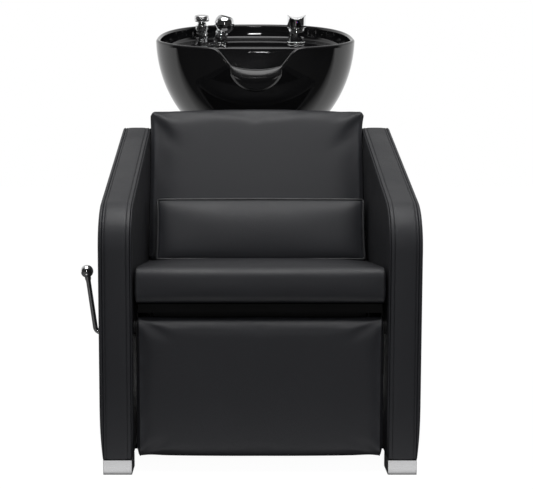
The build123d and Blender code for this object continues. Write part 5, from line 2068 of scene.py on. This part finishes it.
@dataclass
class Lever:
    """Chrome lever beside the left arm, bent upwards and ending in a ball."""

    rod_radius: float = 0.0055
    ball_radius: float = 0.0142
    bend_x: float = -0.357
    socket_x: float = -0.301
    ball_x: float = -0.3755
    depth: float = 0.200
    shaft_height: float = 0.262
    ball_height: float = 0.397
    bend_radius: float = 0.014

    def line(self) -> Array:
        """Middle line: out of the arm, round a tangent arc, and straight up to the ball."""
        corner = np.array([self.bend_x, self.shaft_height])
        start = np.array([self.socket_x, self.shaft_height])
        end = np.array([self.ball_x, self.ball_height])
        first, second = unit(corner - start), unit(end - corner)
        turn = atan2(first[0] * second[1] - first[1] * second[0], first @ second)
        cut = self.bend_radius * tan(abs(turn) / 2)
        side = np.array([-first[1], first[0]]) * np.sign(turn)
        centre = corner - first * cut + side * self.bend_radius
        swing = np.linspace(0, turn, 16)[:, None]
        spoke = -side * np.cos(swing) + first * np.sign(turn) * np.sin(swing)
        arc = centre + self.bend_radius * spoke
        lead = start + (arc[0] - start) * np.linspace(0, 1, 10)[:-1, None]
        tail = arc[-1] + (end - arc[-1]) * np.linspace(0, 1, 24)[1:, None]
        flat = np.concatenate([lead, arc, tail])
        return xyz(flat[:, 0], FRONT_Y + self.depth, flat[:, 1])

    def rod(self) -> bpy.types.Object:
        """Round rod that swells into a small ferrule under the ball."""
        path = self.line()
        left = np.linalg.norm(path - path[-1], axis=1)
        radius = self.rod_radius + 0.0016 * ease(-left, -0.020, -0.0185)
        rings = tube(path, radius, 28, np.array([0.0, 1.0, 0.0]))
        return surface("lever_bar", rings, Fold.TURNED)

    def ball(self) -> bpy.types.Object:
        """Ball with a flat where it meets the ferrule, along the rod's direction."""
        path = self.line()
        up = unit(path[-1] - path[-2])
        angle = np.linspace(-1.12, pi / 2 - 0.03, 40)
        local = turned(self.ball_radius * circle(angle), 64)
        side = np.array([0.0, 1.0, 0.0])
        other = np.cross(side, up)
        grid = path[-1] + local[..., :1] * other + local[..., 1:2] * side + local[..., 2:] * up
        return surface("lever_ball", grid)

    def build(self) -> None:
        """Make and hand in the lever."""
        hand_in(self.rod(), "leg_drive", CHROME, ("lever_rod",))
        hand_in(self.ball(), "leg_drive", CHROME, ("lever_knob",))


# Studio


@dataclass(frozen=True)
class Lamp:
    """Soft rectangular lamp that points at a target."""

    name: str
    place: tuple[float, float, float]
    target: tuple[float, float, float]
    size: tuple[float, float]
    power: float
    glossy: bool = True

    def build(self) -> None:
        """Make the lamp, turned so that it faces its target."""
        data = bpy.data.lights.new(self.name, "AREA")
        data.shape = "RECTANGLE"
        data.size, data.size_y = self.size
        data.energy = self.power
        lamp = in_scene(self.name, data)
        way = np.array(self.target) - np.array(self.place)
        flat = sqrt(way[0] ** 2 + way[1] ** 2)
        lamp.location = self.place
        lamp.visible_glossy = self.glossy
        lamp.rotation_euler = (atan2(flat, -way[2]), 0, atan2(way[1], way[0]) - pi / 2)


LAMPS = (
    Lamp("top_lamp", (0.0, -0.85, 2.63), (0.0, -0.25, 0.5), (2.3, 1.35), 40.0),
    Lamp("front_lamp", (0.02, -3.3, 0.68), (0.0, 0.5, 0.95), (0.24, 0.10), 3.0),
    Lamp("notch_lamp", (0.08, -3.3, 0.995), (0.0, 0.5, 0.95), (0.08, 0.022), 0.4),
    Lamp("fill_lamp", (0.2, -3.8, 1.3), (0.0, 0.0, 0.45), (2.4, 1.6), 47.0, glossy=False),
)


@dataclass
class Studio:
    """Plain white studio: camera, floor, lamps, and a world that shines in reflections from
    behind the bed and from above and is dim ahead of it."""

    camera_x: float = -0.045
    camera_ahead: float = 2.481
    camera_height: float = 0.747
    pitch: float = 6.2
    focal_pixels: float = 1237.0
    image_width: float = 533.0
    principal_x: float = 238.1
    sensor: float = 36.0
    floor_reach: float = 9.0
    floor_height: float = -0.0006
    floor_tone: float = 0.10
    far_floor: Span = (0.2, 2.5)
    far_glow: Span = (0.965, 1.0)
    behind_bed: Span = (0.05, 0.45)
    near_strip: tuple[Span, Span] = ((-0.80, -0.74), (-0.60, -0.585))
    strip_glow: float = 0.72
    beside_strip: Span = (0.42, 0.55)
    fill: float = 0.20

    def camera(self) -> None:
        """Camera at the photograph's place, shifted sideways to its framing."""
        data = bpy.data.cameras.new("camera")
        data.sensor_width = self.sensor
        data.lens = self.focal_pixels * self.sensor / self.image_width
        data.shift_x = (self.image_width / 2 - self.principal_x) / self.image_width
        camera = in_scene("camera", data)
        camera.location = (self.camera_x, FRONT_Y - self.camera_ahead, self.camera_height)
        camera.rotation_euler = (radians(90 - self.pitch), 0, 0)
        bpy.context.scene.camera = camera

    def floor(self) -> None:
        """Pale floor that shows as white and keeps the bed's shadow. Reflections see it shine
        behind the bed and in a strip ahead of its feet."""
        reach, low = self.floor_reach, self.floor_height
        corners = [(-reach, -reach), (reach, -reach), (reach, reach), (-reach, reach)]
        mesh = bpy.data.meshes.new("studio_floor")
        mesh.from_pydata([(x, y, low) for x, y in corners], [], [[0, 1, 2, 3]])
        floor = in_scene("studio_floor", mesh)
        made = bpy.data.materials.new("studio_floor")
        made.use_nodes = True
        bench = NodeBench(made.node_tree)
        made.node_tree.nodes.remove(made.node_tree.nodes["Principled BSDF"])
        matte = bench.add("BsdfDiffuse", {"Color": (*(self.floor_tone,) * 3, 1.0)})
        place = bench.add("SeparateXYZ", {0: bench.add("TexCoord").outputs["Object"]})
        x, y = place.outputs["X"], place.outputs["Y"]
        bright = bench.range(y, self.far_floor, self.far_glow)
        glow = bench.add("Emission", {"Color": WHITE, "Strength": bright})
        behind = bench.range(y, self.behind_bed)
        near = bench.range(y, self.near_strip[0], (0.0, self.strip_glow))
        near = bench.math("MULTIPLY", near, bench.range(y, self.near_strip[1], (1.0, 0.0)))
        beside = bench.range(bench.math("ABSOLUTE", x), self.beside_strip, (1.0, 0.0))
        mirrored = bench.math("MAXIMUM", behind, bench.math("MULTIPLY", near, beside))
        path = bench.add("LightPath").outputs
        glossy = bench.math("MULTIPLY", path["Is Glossy Ray"], mirrored)
        seen = bench.math("MAXIMUM", path["Is Camera Ray"], glossy)
        seen = bench.math("MAXIMUM", seen, path["Is Transmission Ray"])
        none = bench.add("Emission", {"Strength": 0.0})
        glow = bench.add("MixShader", {0: seen, 1: none.outputs[0], 2: glow.outputs[0]})
        both = bench.add("AddShader", {0: matte.outputs[0], 1: glow.outputs[0]})
        out = made.node_tree.nodes["Material Output"]
        bench.feed(out.inputs["Surface"], both.outputs[0])
        mesh.materials.append(made)

    def world(self) -> None:
        """World: white to the camera, a soft fill for lighting, and for reflections bright
        behind the bed and above it and dim where the camera stands."""
        world = bpy.data.worlds.new("studio_world")
        world.use_nodes = True
        bpy.context.scene.world = world
        bench = NodeBench(world.node_tree)
        way = bench.add("SeparateXYZ", {0: bench.add("TexCoord").outputs["Generated"]}).outputs
        behind = bench.range(way["Y"], (0.08, 0.3), (0.03, 1.0))
        lower = bench.range(way["Z"], (0.1, 0.5), (1.0, 0.58))
        above = bench.range(way["Z"], (0.55, 0.95), (0.0, 0.5))
        mirrored = bench.math("MAXIMUM", bench.math("MULTIPLY", behind, lower), above)
        path = bench.add("LightPath").outputs
        fill, seen, white = (
            bench.add("Background", {"Color": WHITE, "Strength": strength}).outputs[0]
            for strength in (self.fill, mirrored, 1.0)
        )
        glossy = bench.add("MixShader", {0: path["Is Glossy Ray"], 1: fill, 2: seen})
        shown = bench.math("MAXIMUM", path["Is Camera Ray"], path["Is Transmission Ray"])
        mixed = bench.add("MixShader", {0: shown, 1: glossy.outputs[0], 2: white})
        bench.feed(world.node_tree.nodes["World Output"].inputs["Surface"], mixed.outputs[0])

    def build(self) -> None:
        """Set up the studio."""
        bpy.context.scene.view_settings.view_transform = "Standard"
        self.camera()
        self.floor()
        self.world()
        for lamp in LAMPS:
            lamp.build()


def main() -> None:
    """Build the bed's pieces in order, then the studio."""
    Studio().build()
    dress_nodes()
    for side in Side:
        Arm(side).build()
    Seat(
        "seat_cover", "base", ("seat_cushion",),
        PaddedBlock((0.2578, 0.220, 0.034), (0.006, 0.019, 0.019), 0.0095),
        Stuffing(2.2, 0.006),
    ).build()
    back = Back(
        "back_cover", "base", ("back_cushion",),
        PaddedBlock((0.2585, 0.0375, 0.192), (0.009, 0.014, 0.014), 0.0095),
        Stuffing(1.4, 0.006),
    )
    back.build()
    Pillow(
        "pillow_cover", "base", ("lumbar_pillow",),
        PaddedBlock((0.2440, 0.040, 0.0735), (0.008, 0.008, 0.008), 0.0080),
        Stuffing(2.6, 0.009),
        back=back,
    ).build()
    LegRest(
        "legrest_cover", "leg_rest", ("legrest_pad",),
        PaddedBlock((0.2550, 0.020, 0.1480), (0.005, 0.0195, 0.0195), 0.0095),
        Stuffing(1.4, 0.004),
    ).build()
    bowl = Bowl()
    bowl.build()
    NeckRest(bowl).build()
    Breaker(TapPlace(bowl, -0.147)).build()
    Handset(TapPlace(bowl, -0.098, lean=15.0)).build()
    Mixer(TapPlace(bowl, 0.119)).build()
    Lever().build()


if __name__ == "__main__":
    logging.basicConfig(level=logging.INFO, format="%(name)s: %(message)s")
    main()
